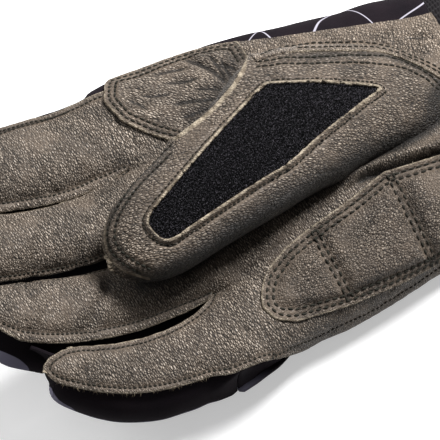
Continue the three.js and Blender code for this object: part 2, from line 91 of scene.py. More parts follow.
# The shape of the glove, as in the CAD model but for the soft changes named here
MID_HEIGHT = 14.0
WRIST_X = 120.0
CUFF_END_X = 166.0
HEM_X = 156.0
ROUNDNESS = 2.4
BACK_FLATNESS = 4.0
SETTLE = 1.05
FINGER_LINE = [(15, 61), (10.4, 28.1), (10, 1), (19, -21.5), (17, -49.5)]
FINGER_NAMES = ["tip_x", "tip_y", "base", "end", "taper", "rise", "bow", "thumb_edge", "little_edge"]
FINGERS = [
    dict(zip(FINGER_NAMES, row))
    for row in [
        (-61, 37.5, 16, 11.5, 26, 28, -1.2, 56, 74),
        (-72, 14, 11.4, 11, 26, 31, -1.2, 74, 74),
        (-54, -11.5, 11.9, 11, 28, 28, -3, 74, 64),
        (-40, -33, 12.4, 9.8, 28, 20, -4, 74, 50),
    ]
]
FINGER_HALF = (13.0, 11.5)
CURL = 1.8
SPREAD = 0.2
PARTING = 60.0
PARTING_SHARE = 0.35
INDEX_PEEK = 7.0
KNUCKLES = 0.32
ROUND_TIP = 2.2
BLUNT_TIP = 4.0


def table(names, rows):
    return {name: np.array(values, float) for name, values in zip(names, zip(*rows))}


PALM = table(
    ["x", "thumb", "little", "crown", "thumb_edge", "little_edge"],
    [
        (8, 61, -50, 27, 62, 60),
        (30, 65, -45, 28, 66, 96),
        (50, 66, -41, 29, 62, 108),
        (70, 64, -37, 30, 52, 110),
        (95, 61, -31, 30, 43, 110),
        (120, 58, -26, 29, 38, 110),
        (166, 60, -28, 31, 38, 110),
    ],
)
THUMB = table(
    ["x", "y", "z", "half", "thick"],
    [
        (-9, -8.3, 38, 14.5, 8.5),
        (4, -4.5, 39, 15.8, 9.5),
        (20, 1.8, 40, 18.3, 10.5),
        (40, 9.5, 40, 21.8, 11.5),
        (60, 18, 36.5, 24.6, 13),
        (80, 19.8, 30, 22, 13.5),
        (100, 18.3, 21.5, 18.8, 13),
        (118, 17, 12, 17, 13),
    ],
)
THUMB_TIP_X = -9.0
THUMB_ROOT_X = 118.0
THUMB_TAPER = 20.0
THUMB_ROUNDNESS = 2.2
THUMB_SEAM_SIDE = 94.0
THUMB_LOW_SIDE = 118.0
FORK_TUCK = 0.14
LOW_TUCK = 0.15

# Outlines in plan: x, y and the radius of each corner
WINDOW = [(2.4, -4, 6), (55, 27.5, 4), (94, 17, 1.5), (52, -3.5, 40), (6.4, -14.9, 8)]
PATCH_OUTLINE = [
    (6, 74, 1), (6, 40, 1), (24, 26, 1), (44, 15, 1), (59.5, 30, 1), (59.5, 65, 8), (46, 76, 1),
]
BASE_OUTLINE = [(63, 80, 1), (63, 36, 1), (96, 26, 20), (106, 8, 12), (130, -2, 1), (130, 80, 1)]
BASE_SPREAD = [(57, 18, 1), (100, 0, 1), (132, -24, 1), (132, 84, 1), (57, 84, 1)]

# Outlines and lines as they show in the picture.
# The heel pad, and the panels at the roots of the thumb and of the index finger
PAD_IN_VIEW = [
    (262, 291, 6), (266, 273, 12), (285, 249, 12), (310, 228, 20), (350, 200, 30), (384, 172, 8),
    (404, 166, 10), (440, 155, 10), (466, 147, 10), (476, 172, 12), (470, 237, 14), (440, 264, 20),
    (402, 284, 20), (352, 305, 20), (318, 315, 20), (296, 321, 12), (276, 318, 12), (263, 306, 8),
]
PAD_CROSS_A = [(315, 232), (326, 254), (338, 275), (350, 297)]
PAD_CROSS_B = [(391, 176), (402, 197), (412, 218), (424, 241), (435, 264)]
BASE_IN_VIEW = [
    (236, 70), (255, 61), (270, 54.5), (285, 51), (300, 50), (330, 49.3), (364, 49), (380, 50), (395, 54),
    (410, 60), (425, 67), (440, 76), (455, 88), (470, 104), (497, 133), (530, 160), (700, 160),
    (700, -150), (236, -150),
]
BASE_ROW_A = [
    (262, 54), (267, 51.5), (280, 46.5), (300, 43.5), (330, 42), (350, 41.5), (370, 42), (385, 45),
    (400, 50), (415, 55), (430, 62), (446, 72),
]
BASE_ROW_B = [
    (300, 47), (320, 46.5), (345, 46), (370, 46), (385, 48.5), (400, 53), (415, 58.5), (430, 66),
    (446, 76),
]
PATCH_IN_VIEW = [
    (104, 100, 9), (105, 83, 5), (122, 66, 1), (122, -60, 1), (330, -60, 1), (330, 160, 1), (184, 143, 1),
    (150, 133, 20), (122, 119.5, 14),
]
PUCKER = [(236, 62), (230, 78), (222, 94), (208, 108), (194, 122)]

# What is cut away from the palm between and beside the fingers
SLIT_IN_VIEW = [
    (46, 350), (60, 346), (72, 343.5), (85, 341.5), (100, 338), (115, 336.5), (132, 334), (150, 328.5),
    (170, 318), (190, 307), (212, 296), (208, 304.5), (196, 316), (181, 325.5), (165, 333), (150, 338),
    (132, 343), (115, 346), (98, 347.5), (80, 349), (64, 351), (52, 355.5),
]
INDEX_SLIT = [
    (130, 168.5), (115, 175.5), (100, 183.5), (80, 193), (60, 201), (40, 206.5), (-20, 212), (-20, 217),
    (10, 216.5), (30, 213.5), (50, 209), (65, 204.5), (80, 197), (100, 187), (115, 178.5),
]
TOP_IN_VIEW = [
    (-60, 148), (0, 128.5), (14, 124), (30, 120), (45, 117.5), (60, 112.5), (80, 104), (92, 97.5),
    (104, 93), (122, 92), (122, 30), (-60, 30),
]
LITTLE_TIP = [
    (98, 345.5), (78, 348.5), (62, 352.5), (50, 359.5), (45.5, 366), (45, 373), (50, 379.5), (57, 383.5),
    (57, 402), (15, 402), (15, 345.5),
]
RING_LOW = [
    (-30, 312), (-10, 322), (0, 327), (10, 331.5), (20, 336), (32, 340), (45, 343), (45, 348), (-30, 348),
]

# The palm's stitch rows, the stretch without one, and the ridge towards the wrist
INDEX_TOP_ROW = [
    (-20, 140), (0, 133.5), (14.5, 128.3), (29, 124.3), (43.4, 121), (57.8, 116.3), (66, 112.8),
]
LOW_ROW = [
    (272, 357), (283, 352), (300, 345), (320, 336), (340, 327), (360, 318), (375, 310), (395, 298),
    (415, 286), (440, 268),
]
BELOW_INDEX = [
    (-20, 221), (10, 220.5), (30, 217.5), (50, 213), (65, 208.5), (80, 201), (100, 191), (115, 182.5),
]
RIDGE = [(338, 184), (350, 178), (365, 171), (385, 162), (400, 157), (420, 151), (440, 145), (470, 135)]
GROOVE_ABOVE = [
    (330, 178), (345, 170), (360, 162), (385, 147), (400, 138), (415, 130), (432, 118), (470, 92),
]
GROOVE_BELOW = [
    (348, 188), (358, 181), (370, 175), (385, 171), (400, 167), (420, 160), (440, 153), (470, 142),
]

# The thumb's stitch rows, raw edges, folds, and where its tip is painted with a highlight
THUMB_ROW_A = [
    (260, 61), (275, 58), (290, 57), (310, 56), (330, 55.5), (350, 54.5), (370, 54), (385, 55), (400, 59),
    (415, 65), (430, 74), (441, 85),
]
THUMB_ROW_B = [
    (258, 66), (275, 63.5), (300, 62.5), (330, 62), (350, 62), (375, 62.5), (395, 65), (410, 69.5),
    (425, 77), (438, 88),
]
TIP_ROW_A = [
    (171, 146), (158, 157), (147, 169), (127, 191), (113, 213), (107, 226), (106, 240), (110, 252),
    (122, 264.5), (139, 273.5),
]
TIP_ROW_B = [
    (170, 153), (156, 167), (137, 186), (120, 211), (114, 228), (114, 240), (118, 249), (128, 258),
    (149, 269),
]
TIP_EDGE = [
    (168, 141), (150, 154), (132, 171), (116, 193), (107, 215), (104, 235), (106, 250), (114, 264),
    (127, 273), (149, 279),
]
TIP_TUCK = [(166, 135), (142, 152), (122, 174), (107, 198), (98, 224), (96, 246), (103, 264), (118, 276)]
THUMB_LOW_LINE = [
    (140, 285), (165, 279), (190, 268), (215, 251), (250, 227), (280, 208), (310, 192), (340, 176),
    (370, 160), (400, 147), (425, 132), (450, 112),
]
THUMB_ROOT_FOLD = [(450, 84), (438, 94), (434, 106), (442, 118)]
TIP_PAINTED_HIGHLIGHT = [(116, 236), (128, 252), (150, 264)]
CREAM_LINE = [(166, 146), (177, 140), (200, 122), (216, 108), (234, 87), (245, 68), (250, 58)]
CREAM_REGION = [(120, 158), (160, 148)] + CREAM_LINE[1:] + [(256, 46), (256, -20), (120, -20)]

# Where the leather and the fabric swell or sink
LOW_BULGE = [
    (320, 341), (340, 332), (360, 323), (380, 311), (400, 298), (420, 285), (440, 272), (475, 249),
]
FABRIC_BULGE = [(-30, 138), (0, 130), (20, 124), (40, 116.5), (60, 109.5), (80, 101)]
KNUCKLE_BULGE = [(90, 96), (99, 89.5), (107, 84)]
TOP_BULGE = [(350, 13), (375, 6), (400, 1), (430, -6), (470, -14)]
LITTLE_BULGE = [(40, 385), (60, 398), (90, 410), (130, 416), (170, 414), (200, 407), (222, 400)]
UNDER_LOW_EDGE = [(266, 364), (290, 350), (310, 342), (332, 332), (356, 320)]
SIDE_TUCK = [(226, 398), (242, 391), (256, 383), (270, 374), (284, 364), (296, 355)]
RING_BULGE = [(-60, 350), (-30, 356), (0, 362), (26, 368), (46, 369)]
TIP_WALL = [(36, 358), (38, 372), (43, 386)]

# Where the soft blots of the print begin
RING_BLOT = [(-20, 352), (0, 358), (14, 364), (22, 371)]
LITTLE_BLOT = [(50, 393), (60, 401), (72, 408)]

# Swellings, and painted shade and painted highlights, along those paths: the path, the height in mm or the
# strength, the width in px, the share of the path over which each end fades, the picture x where it starts,
# and over how far
HEEL_SWELL = [(LOW_BULGE, 1.8, 13.0, 0.0, 315, 40)]
INDEX_SWELL = [(FABRIC_BULGE, 3.0, 8.0, 0.0, 88, -50)]
RING_SWELL = [(RING_BULGE, 8.0, 18.0, 0.0, 60, -18)]
BACK_SWELLS = [
    (KNUCKLE_BULGE, 1.2, 5.0, 0.0, 0, 0),
    (TOP_BULGE, 1.7, 16.0, 0.0, 330, 45),
    (LITTLE_BULGE, 1.5, 12.0, 0.14, 218, -60),
    (UNDER_LOW_EDGE, -0.7, 13.0, 0.0, 0, 0),
    (SIDE_TUCK, -2.9, 15.0, 0.0, 210, 45),
]
WALL_TUCK = [(TIP_WALL, -1.7, 8.0, 0.0, 0, 0)]
THUMB_TUCK = [(TIP_TUCK, -1.5, 9.0, 0.15, 0, 0)]
PALM_RIDGE = [
    (RIDGE, 3.0, 6.0, 0.0, 325, 30),
    (GROOVE_BELOW, -2.2, 3.6, 0.15, 0, 0),
    (GROOVE_ABOVE, -2.0, 5.0, 0.0, 0, 0),
]
CREAM_SWELL = [(CREAM_LINE, 0.5, 7.0, 0.0, 0, 0)]
PALM_SHADE = [
    (GROOVE_BELOW, 0.9, 3.6, 0.15, 0, 0),
    (GROOVE_ABOVE, 0.8, 5.0, 0.0, 0, 0),
    (THUMB_LOW_LINE, 0.8, 7.0, 0.0, 0, 0),
]
PUCKER_SHADE = [(PUCKER, 0.5, 14.0, 0.0, 0, 0)]
THUMB_SHADES = [
    (THUMB_ROOT_FOLD, 0.95, 13.0, 0.0, 0, 0),
    (THUMB_ROW_A, 0.6, 3.0, 0.0, 270, 40),
    (TIP_ROW_A, 0.55, 2.2, 0.0, 0, 0),
    (TIP_ROW_B, 0.55, 2.2, 0.0, 0, 0),
]
# A painted highlight on the thumb's tip
TIP_GLEAM = [(TIP_PAINTED_HIGHLIGHT, 0.32, 17.0, 0.0, 0, 0)]
RING_PRINT = [(RING_BLOT, 0.55, 9.0, 0.0, 0, 0)]
LITTLE_PRINT = [(LITTLE_BLOT, 0.5, 6.0, 0.0, 0, 0)]


def smooth(edge, value):
    share = np.clip(np.asarray(value, float) / edge, 0, 1)
    return share * share * (3 - 2 * share)


def lerp(a, b, share):
    return a + (b - a) * share


def power(value, exponent):
    return np.sign(value) * np.abs(value) ** (2 / exponent)


def unit(vectors):
    length = np.linalg.norm(vectors, axis=-1, keepdims=True)
    return vectors / np.maximum(length, 1e-9)


def column(rows, name, place):
    """One column of a table at a place, along a smooth curve through its rows."""
    xs, ys = rows["x"], rows[name]
    last = len(xs) - 1
    i = np.clip(np.searchsorted(xs, place) - 1, 0, last - 1)
    before, after = np.maximum(i - 1, 0), np.minimum(i + 2, last)
    span = xs[i + 1] - xs[i]
    share = np.clip((place - xs[i]) / span, 0, 1)
    leave = (ys[i + 1] - ys[before]) / (xs[i + 1] - xs[before]) * span
    arrive = (ys[after] - ys[i]) / (xs[after] - xs[i]) * span
    start = 2 * share**3 - 3 * share**2 + 1
    ease = (share**3 - 2 * share**2 + share) * leave + (share**3 - share**2) * arrive
    return start * ys[i] + (1 - start) * ys[i + 1] + ease


def rounded_tip(distance, taper, bluntness):
    return np.sqrt(np.maximum(0, 1 - np.clip(distance / taper, 0, 1) ** bluntness))


def leather_edge(k, f, side):
    """How far round a finger's section the leather reaches, in degrees from the top."""
    full = FINGERS[k]["thumb_edge" if side > 0 else "little_edge"]
    if k == 0 and side > 0:
        return full - INDEX_PEEK * smooth(0.3, f)
    if k == 3 and side < 0:
        return full + 0 * f
    return lerp(PARTING, full, smooth(PARTING_SHARE, f))


def finger_point(k, f, angle):
    """Points of a finger's skin at shares f of its length and angles from the top towards the thumb."""
    finger = FINGERS[k]
    f, angle = np.broadcast_arrays(np.asarray(f, float), np.radians(angle))
    left, right = np.array(FINGER_LINE[k], float), np.array(FINGER_LINE[k + 1], float)
    middle = (left + right) / 2
    along = np.array([finger["tip_x"], finger["tip_y"]]) - middle
    length = np.linalg.norm(along)
    across = np.array([along[1], -along[0]]) / length
    plan = middle + f[..., None] * along + (finger["bow"] * 4 * f * (1 - f))[..., None] * across
    past = f * length - (length - finger["taper"])
    wide = lerp(finger["base"], finger["end"], f) * rounded_tip(past, finger["taper"], ROUND_TIP)
    half = lerp(*FINGER_HALF, f) * rounded_tip(past, finger["taper"], BLUNT_TIP)
    spread = smooth(SPREAD, f)[..., None]
    way = lerp((left - right) / 2, across * wide[..., None], spread)
    reach = lerp(sin(radians(PARTING)) ** (2 / ROUNDNESS), 1, spread[..., 0])
    held = np.clip(power(np.sin(angle), ROUNDNESS), -reach, reach) / reach
    plan = plan + way * held[..., None]
    height = MID_HEIGHT + finger["rise"] * f**CURL + power(np.cos(angle), ROUNDNESS) * half
    return np.concatenate([plan, height[..., None]], axis=-1)


def palm_point(x, angle):
    """Points of the hand's and the cuff's skin at x, at angles from the top towards the thumb."""
    x, angle = np.broadcast_arrays(np.asarray(x, float), np.radians(angle))
    thumb, little = column(PALM, "thumb", x), column(PALM, "little", x)
    top = np.cos(angle) >= 0
    lateral = np.where(top, power(np.sin(angle), ROUNDNESS), power(np.sin(angle), BACK_FLATNESS))
    vertical = np.where(top, power(np.cos(angle), ROUNDNESS), power(np.cos(angle), BACK_FLATNESS))
    y = (thumb + little) / 2 + lateral * (thumb - little) / 2
    rise = np.where(top, column(PALM, "crown", x) - MID_HEIGHT, MID_HEIGHT * SETTLE)
    return np.stack([x, y, np.maximum(0, MID_HEIGHT + vertical * rise)], axis=-1)


def palm_angle(points):
    """The angle at which the hand's section passes points of the finger line."""
    thumb, little = column(PALM, "thumb", points[:, 0]), column(PALM, "little", points[:, 0])
    share = np.clip((points[:, 1] - (thumb + little) / 2) / ((thumb - little) / 2), -1, 1)
    return np.degrees(np.arcsin(power(share, 4 / ROUNDNESS)))


def thumb_point(x, angle):
    """Points of the thumb's skin at x, at angles from the top towards the seam at the fork."""
    x, angle = np.broadcast_arrays(np.asarray(x, float), np.radians(angle))

    def middle(place):
        return np.stack([place, column(THUMB, "y", place), column(THUMB, "z", place)], axis=-1)

    round_off = rounded_tip(THUMB_TIP_X + THUMB_TAPER - x, THUMB_TAPER, ROUND_TIP)
    along = unit(middle(x + 1) - middle(x - 1))
    across = unit(np.stack([-along[..., 1], along[..., 0], 0 * x], axis=-1))
    upward = np.cross(along, across)
    fork_side = FORK_TUCK * smooth(16, x + 2) * (1 - smooth(18, x - 45))
    low_side = LOW_TUCK * smooth(40, x - 62)
    tuck = 1 - np.where(np.sin(angle) > 0, fork_side, low_side)
    half = column(THUMB, "half", x) * tuck * round_off * power(np.sin(angle), THUMB_ROUNDNESS)
    thick = column(THUMB, "thick", x) * round_off * power(np.cos(angle), THUMB_ROUNDNESS)
    return middle(x) + across * half[..., None] + upward * thick[..., None]


# Random but repeatable unevenness
def noise(points, size, seed, turn=0.0, stretch=1.0):
    """Smooth values of about -1 to 1, with features of a size in mm, stretched along a turned X axis."""
    rng = np.random.default_rng(seed)
    slopes = unit(rng.normal(size=(256, 3)))
    order = rng.permutation(256)
    c, s = cos(radians(turn)), sin(radians(turn))
    turned = points @ np.array([[c, -s, 0], [s, c, 0], [0, 0, 1]])
    place = turned / (size * np.array([stretch, 1, 1])) + rng.uniform(0, 50, 3)
    cell = np.floor(place).astype(int)
    inside = place - cell
    fade = inside**3 * (inside * (inside * 6 - 15) + 10)
    total = np.zeros(len(points))
    for corner in itertools.product((0, 1), repeat=3):
        at = cell + corner
        key = order[(order[(order[at[:, 0] & 255] + at[:, 1]) & 255] + at[:, 2]) & 255]
        weight = np.prod(np.where(corner, fade, 1 - fade), axis=1)
        total += weight * np.sum(slopes[key] * (inside - corner), axis=1)
    return total * 1.6


def creases(points, size, seed, turn, stretch, width):
    """1 along thin wandering lines, falling to 0 beside them."""
    push = np.stack([noise(points, size * 1.7, seed + s) for s in (11, 12, 13)], axis=1)
    bent = points + 0.35 * size * push
    lines = np.exp(-((noise(bent, size, seed, turn, stretch) / width) ** 2))
    return lines * np.clip(0.6 + noise(points, size * 2.5, seed + 14), 0, 1)


# Surfaces
# Rings of points round a wall's rim: the share of its thickness, and the share of its bulge
RIM_RINGS = [(0.22, 0.75), (0.5, 1.0), (0.8, 0.7)]
# What the edge field says on a wall's cut side and on its inner face
RAW_SIDE = 0.3
RAW_UNDER = -1.0


class Sheet:
    """A surface of points and triangles, with named numbers for its points."""

    def __init__(self, points, faces, **fields):
        self.points = points
        self.faces = faces
        self.fields = fields

    @staticmethod
    def grid(*grids):
        """One sheet of several grids of points, joined where their points meet."""
        points, faces, start = [], [], 0
        for rows in grids:
            count, width = rows.shape[:2]
            i, j = np.meshgrid(np.arange(count - 1), np.arange(width - 1), indexing="ij")
            corner = (start + i * width + j).ravel()
            faces.append(np.stack([corner, corner + 1, corner + width + 1], axis=1))
            faces.append(np.stack([corner, corner + width + 1, corner + width], axis=1))
            points.append(rows.reshape(-1, 3))
            start += count * width
        points, faces = np.concatenate(points), np.concatenate(faces)
        _, first, same = np.unique(np.round(points, 3), axis=0, return_index=True, return_inverse=True)
        faces = same.reshape(-1)[faces]
        flat = (faces == np.roll(faces, 1, axis=1)).any(axis=1)
        return Sheet(points[first], faces[~flat])

    def normals(self):
        corner = self.points[self.faces]
        cross = np.cross(corner[:, 1] - corner[:, 0], corner[:, 2] - corner[:, 0])
        total = np.zeros_like(self.points)
        for k in range(3):
            np.add.at(total, self.faces[:, k], cross)
        return unit(total)

    def seen(self):
        """Where the sheet's points show in the picture."""
        return in_view(self.points)

    def edges(self):
        return np.concatenate([self.faces[:, [0, 1]], self.faces[:, [1, 2]], self.faces[:, [2, 0]]])

    def crossed(self, inside):
        """The faces that a field's 0 crosses, lone corner first, with their cut edges and the cuts' place."""
        above = inside[self.faces] > 0
        count = above.sum(axis=1)
        mixed = (count == 1) | (count == 2)
        single = count[mixed] == 1
        lone = np.argmax(above[mixed] == single[:, None], axis=1)
        a, b, c = np.take_along_axis(self.faces[mixed], (lone[:, None] + np.arange(3)) % 3, axis=1).T
        pairs = np.sort(np.concatenate([np.stack([a, b], 1), np.stack([a, c], 1)]), axis=1)
        ends, index = np.unique(pairs, axis=0, return_inverse=True)
        low, high = ends.T
        share = inside[low] / (inside[low] - inside[high])
        return (a, b, c), single, index.reshape(2, -1), (low, high, share)

    def with_points(self, low, high, share, faces):
        """A sheet with points added between pairs of its points, and new faces."""
        points = np.concatenate([self.points, lerp(self.points[low], self.points[high], share[:, None])])
        fields = {n: np.concatenate([v, lerp(v[low], v[high], share)]) for n, v in self.fields.items()}
        return Sheet(points, faces, **fields)

    def cut(self, inside):
        """Keeps what has a positive value, along a straight line across each face."""
        (a, b, c), single, cuts, (low, high, share) = self.crossed(inside)
        ab, ac = cuts + len(self.points)
        whole = (inside[self.faces] > 0).all(axis=1)
        faces = [self.faces[whole], np.stack([a, ab, ac], 1)[single]]
        faces += [np.stack(face, 1)[~single] for face in ((ab, b, c), (ab, c, ac))]
        return self.with_points(low, high, share, np.concatenate(faces)).compact()

    def compact(self):
        used = np.unique(self.faces)
        place = np.full(len(self.points), -1)
        place[used] = np.arange(len(used))
        fields = {name: value[used] for name, value in self.fields.items()}
        return Sheet(self.points[used], place[self.faces], **fields)

    def rim(self):
        """The open edges as pairs of points, each with the surface on its left."""
        edges, size = self.edges(), len(self.points)
        forward, back = edges[:, 0] * size + edges[:, 1], edges[:, 1] * size + edges[:, 0]
        return edges[~np.isin(forward, back)]

    def contour(self, values, level):
        """Lines of points along which a field has one value."""
        _, _, cuts, (low, high, share) = self.crossed(values - level)
        points = lerp(self.points[low], self.points[high], share[:, None])
        return [points[line] for line in chains(cuts.T)]

    def finer(self):
        """Each face split in four."""
        ends, index = np.unique(np.sort(self.edges(), axis=1), axis=0, return_inverse=True)
        ab, bc, ca = (index.reshape(-1) + len(self.points)).reshape(3, -1)
        a, b, c = self.faces.T
        faces = [np.stack(face, 1) for face in ((a, ab, ca), (ab, b, bc), (ca, bc, c), (ab, bc, ca))]
        return self.with_points(*ends.T, np.full(len(ends), 0.5), np.concatenate(faces))

    def edge_lines(self):
        return [self.points[line] for line in chains(self.rim())]

    def moved(self, distance):
        """The sheet pushed out along its normals."""
        push = np.broadcast_to(distance, len(self.points))
        return Sheet(self.points + self.normals() * push[:, None], self.faces, **self.fields)

    def slab(self, thickness, bulge=0.0):
        """A closed wall between the sheet and its copy inside it, with a rounded rim."""
        normals, rim, size = self.normals(), self.rim(), len(self.points)
        sideways = unit(np.cross(self.points[rim[:, 1]] - self.points[rim[:, 0]], normals[rim[:, 0]]))
        outward = np.zeros_like(self.points)
        np.add.at(outward, rim[:, 0], sideways)
        np.add.at(outward, rim[:, 1], sideways)
        outward = unit(outward)
        on_rim = np.unique(rim)
        levels = [self.points]
        for depth, out in RIM_RINGS:
            at = self.points[on_rim] - normals[on_rim] * thickness * depth
            levels.append(at + outward[on_rim] * bulge * out)
        levels.append(self.points - normals * thickness)
        ring_place = np.full(size, -1)
        ring_place[on_rim] = np.arange(len(on_rim))
        inner_start = size + len(RIM_RINGS) * len(on_rim)
        steps = [np.arange(size)]
        steps += [size + r * len(on_rim) + ring_place for r in range(len(RIM_RINGS))]
        steps.append(inner_start + np.arange(size))
        faces = [self.faces, inner_start + self.faces[:, ::-1]]
        p, q = rim.T
        for upper, lower in zip(steps[:-1], steps[1:]):
            faces.append(np.stack([upper[q], upper[p], lower[p]], 1))
            faces.append(np.stack([upper[q], lower[p], lower[q]], 1))
        fields = {}
        for name, value in self.fields.items():
            is_edge = name == "edge"
            side = value[on_rim] - (RAW_SIDE if is_edge else 0.0)
            under = np.full(size, RAW_UNDER) if is_edge else value
            fields[name] = np.concatenate([value] + [side] * len(RIM_RINGS) + [under])
        return Sheet(np.concatenate(levels), np.concatenate(faces), **fields)

    def bvh(self):
        return BVHTree.FromPolygons(self.points.tolist(), self.faces.tolist())


def chains(segments):
    """Joins segments, given as pairs of point numbers, into lines of point numbers."""
    beside = {}
    for p, q in segments.tolist():
        beside.setdefault(p, []).append(q)
        beside.setdefault(q, []).append(p)
    lines = []
    starts = [p for p, near in beside.items() if len(near) == 1] + list(beside)
    for start in starts:
        if not beside[start]:
            continue
        line = [start]
        while beside[line[-1]]:
            here = line[-1]
            ahead = beside[here].pop()
            beside[ahead].remove(here)
            line.append(ahead)
        lines.append(line)
    return lines


def even_line(line, pitch):
    """A line's points a pitch apart."""
    steps = np.linalg.norm(np.diff(line, axis=0), axis=1)
    along = np.concatenate([[0], np.cumsum(steps)])
    count = max(2, int(round(along[-1] / pitch)) + 1)
    at = np.linspace(0, along[-1], count)
    return np.stack([np.interp(at, along, line[:, k]) for k in range(3)], axis=1)


EASED_STEP = 0.5
EASING_PASSES = 3
SHORTEST_ROW = 3.0


def eased_line(line):
    """A line without the small jags of the faces that it was found on."""
    line = even_line(line, EASED_STEP)
    for _ in range(EASING_PASSES):
        line[1:-1] = (line[:-2] + 2 * line[1:-1] + line[2:]) / 4
    return line


def parts_of(lines, wanted):
    """The stretches of lines whose points are wanted."""
    found = []
    for line in lines:
        keep = np.concatenate([[False], wanted(line), [False]]).astype(int)
        starts, ends = np.nonzero(np.diff(keep) == 1)[0], np.nonzero(np.diff(keep) == -1)[0]
        for start, end in zip(starts, ends):
            part = line[start:end]
            if len(part) > 2 and np.linalg.norm(np.diff(part, axis=0), axis=1).sum() > SHORTEST_ROW:
                found.append(part)
    return found


FAR = 30.0
SEARCH_STEP = 0.4
RUN_GAP = 20.0


def beside_lines(points, lines):
    """How far each point is from the nearest of the lines, up to FAR, and how far along it that is."""
    spots, ways, runs = [], [], []
    start = 0.0
    for line in lines:
        fine = even_line(line, SEARCH_STEP)
        step = np.linalg.norm(np.diff(fine, axis=0), axis=1)
        spots.append(fine)
        ways.append(unit(np.gradient(fine, axis=0)))
        runs.append(start + np.concatenate([[0], np.cumsum(step)]))
        start = runs[-1][-1] + RUN_GAP
    if not spots:
        return np.full(len(points), FAR), np.zeros(len(points))
    spots, ways, runs = np.concatenate(spots), np.concatenate(ways), np.concatenate(runs)
    tree = KDTree(len(spots))
    for i, spot in enumerate(spots.tolist()):
        tree.insert(spot, i)
    tree.balance()
    index = np.array([tree.find(p)[1] for p in points.tolist()])
    gap = points - spots[index]
    slide = np.clip(np.sum(gap * ways[index], axis=1), -SEARCH_STEP, SEARCH_STEP)
    distance = np.sqrt(np.maximum(0, np.sum(gap * gap, axis=1) - slide**2))
    return np.minimum(distance, FAR), runs[index] + slide


def outline(corners, widen=0.0):
    """A closed curve in plan through rounded corners, moved outwards by a distance."""
    given = np.array([corner[:2] for corner in corners], float)
    ahead = np.roll(given, -1, axis=0)
    turn = np.sign(np.sum(given[:, 0] * ahead[:, 1] - ahead[:, 0] * given[:, 1]))
    way = unit(ahead - given)
    out = np.stack([way[:, 1], -way[:, 0]], axis=1) * turn
    before = np.roll(out, 1, axis=0)
    bend = 1 + np.sum(before * out, axis=1, keepdims=True)
    moved = given + (before + out) * widen / bend
    points = []
    for i, here in enumerate(moved):
        back, on = moved[i - 1] - here, moved[(i + 1) % len(moved)] - here
        long_back, long_on = np.linalg.norm(back), np.linalg.norm(on)
        angle = np.arccos(np.clip(np.dot(back, on) / long_back / long_on, -1, 1))
        wanted = max(0.5, corners[i][2] + widen) / np.tan(angle / 2)
        reach = min(wanted, 0.48 * long_back, 0.48 * long_on)
        share = np.linspace(0, 1, 12)[:, None]
        first, last = here + back / long_back * reach, here + on / long_on * reach
        points.append((1 - share) ** 2 * first + 2 * share * (1 - share) * here + share**2 * last)
    return np.concatenate(points)


def inside_outline(plan, curve):
    """How far inside a closed curve each point in plan is; negative outside."""
    a, b = curve, np.roll(curve, -1, axis=0)
    best = np.full(len(plan), 1e9)
    crossings = np.zeros(len(plan), int)
    for p, q in zip(a, b):
        way = q - p
        length = max(np.dot(way, way), 1e-12)
        share = np.clip((plan - p) @ way / length, 0, 1)
        best = np.minimum(best, np.linalg.norm(plan - p - share[:, None] * way, axis=1))
        if p[1] != q[1]:
            spans = (plan[:, 1] < p[1]) != (plan[:, 1] < q[1])
            at = p[0] + (plan[:, 1] - p[1]) / (q[1] - p[1]) * way[0]
            crossings += spans & (plan[:, 0] < at)
    return np.where(crossings % 2 == 1, best, -best)


def curved(path, passes=3):
    """A path with its corners rounded off."""
    path = np.asarray(path, float)
    for _ in range(passes):
        first, last = lerp(path[:-1], path[1:], 0.25), lerp(path[:-1], path[1:], 0.75)
        middle = np.stack([first, last], axis=1).reshape(-1, path.shape[1])
        path = np.concatenate([path[:1], middle[1:-1], path[-1:]])
    return path


def near_path(flat, path, width, fade=0.0):
    """1 on a path through flat points, falling off within a width, and towards its ends."""
    line = curved([(x, y, 0.0) for x, y in path])
    line = even_line(line, width / 4)[:, :2]
    low, high = line.min(axis=0) - 3 * width, line.max(axis=0) + 3 * width
    near = np.nonzero(((flat > low) & (flat < high)).all(axis=1))[0]
    gap = np.linalg.norm(flat[near][:, None] - line[None], axis=2)
    along = gap.argmin(axis=1) / (len(line) - 1)
    ends = smooth(fade, along) * smooth(fade, 1 - along) if fade else 1.0
    amount = np.zeros(len(flat))
    amount[near] = np.exp(-((gap.min(axis=1) / width) ** 2)) * ends
    return amount


def swell(seen, rows):
    """What a table of swellings or shadings adds up to at places in the picture."""
    total = np.zeros(len(seen))
    for path, height, width, ends, start, over in rows:
        amount = height * near_path(seen, path, width, ends)
        if over:
            amount = amount * smooth(abs(over), (seen[:, 0] - start) * np.sign(over))
        total += amount
    return total


FOLD_FADE = 0.3
BESIDE_FOLD = (0.35, 2.4)
# The painted shade along a fold: its strength for each mm of depth, its most, and its width as a share of the
# fold's
FOLD_SHADE = (1.3, 1.4, 0.42)


def folded(sheet, flat, folds, fold_shade_strength):
    """The sheet pressed in along paths, each with a depth and a width, and raised a little beside them."""
    push = np.zeros(len(sheet.points))
    shade = np.zeros(len(sheet.points))
    for path, depth, width in folds:
        raised, wider = BESIDE_FOLD
        by_depth, most, narrower = FOLD_SHADE
        push -= depth * near_path(flat, path, width, FOLD_FADE)
        push += raised * depth * near_path(flat, path, wider * width, FOLD_FADE)
        shade += fold_shade_strength * min(most, by_depth * depth) * near_path(flat, path, narrower * width, FOLD_FADE)
    # The painted shade along the folds, kept for the leather's colour
    sheet.fields["shade"] = shade
    return sheet.moved(push)


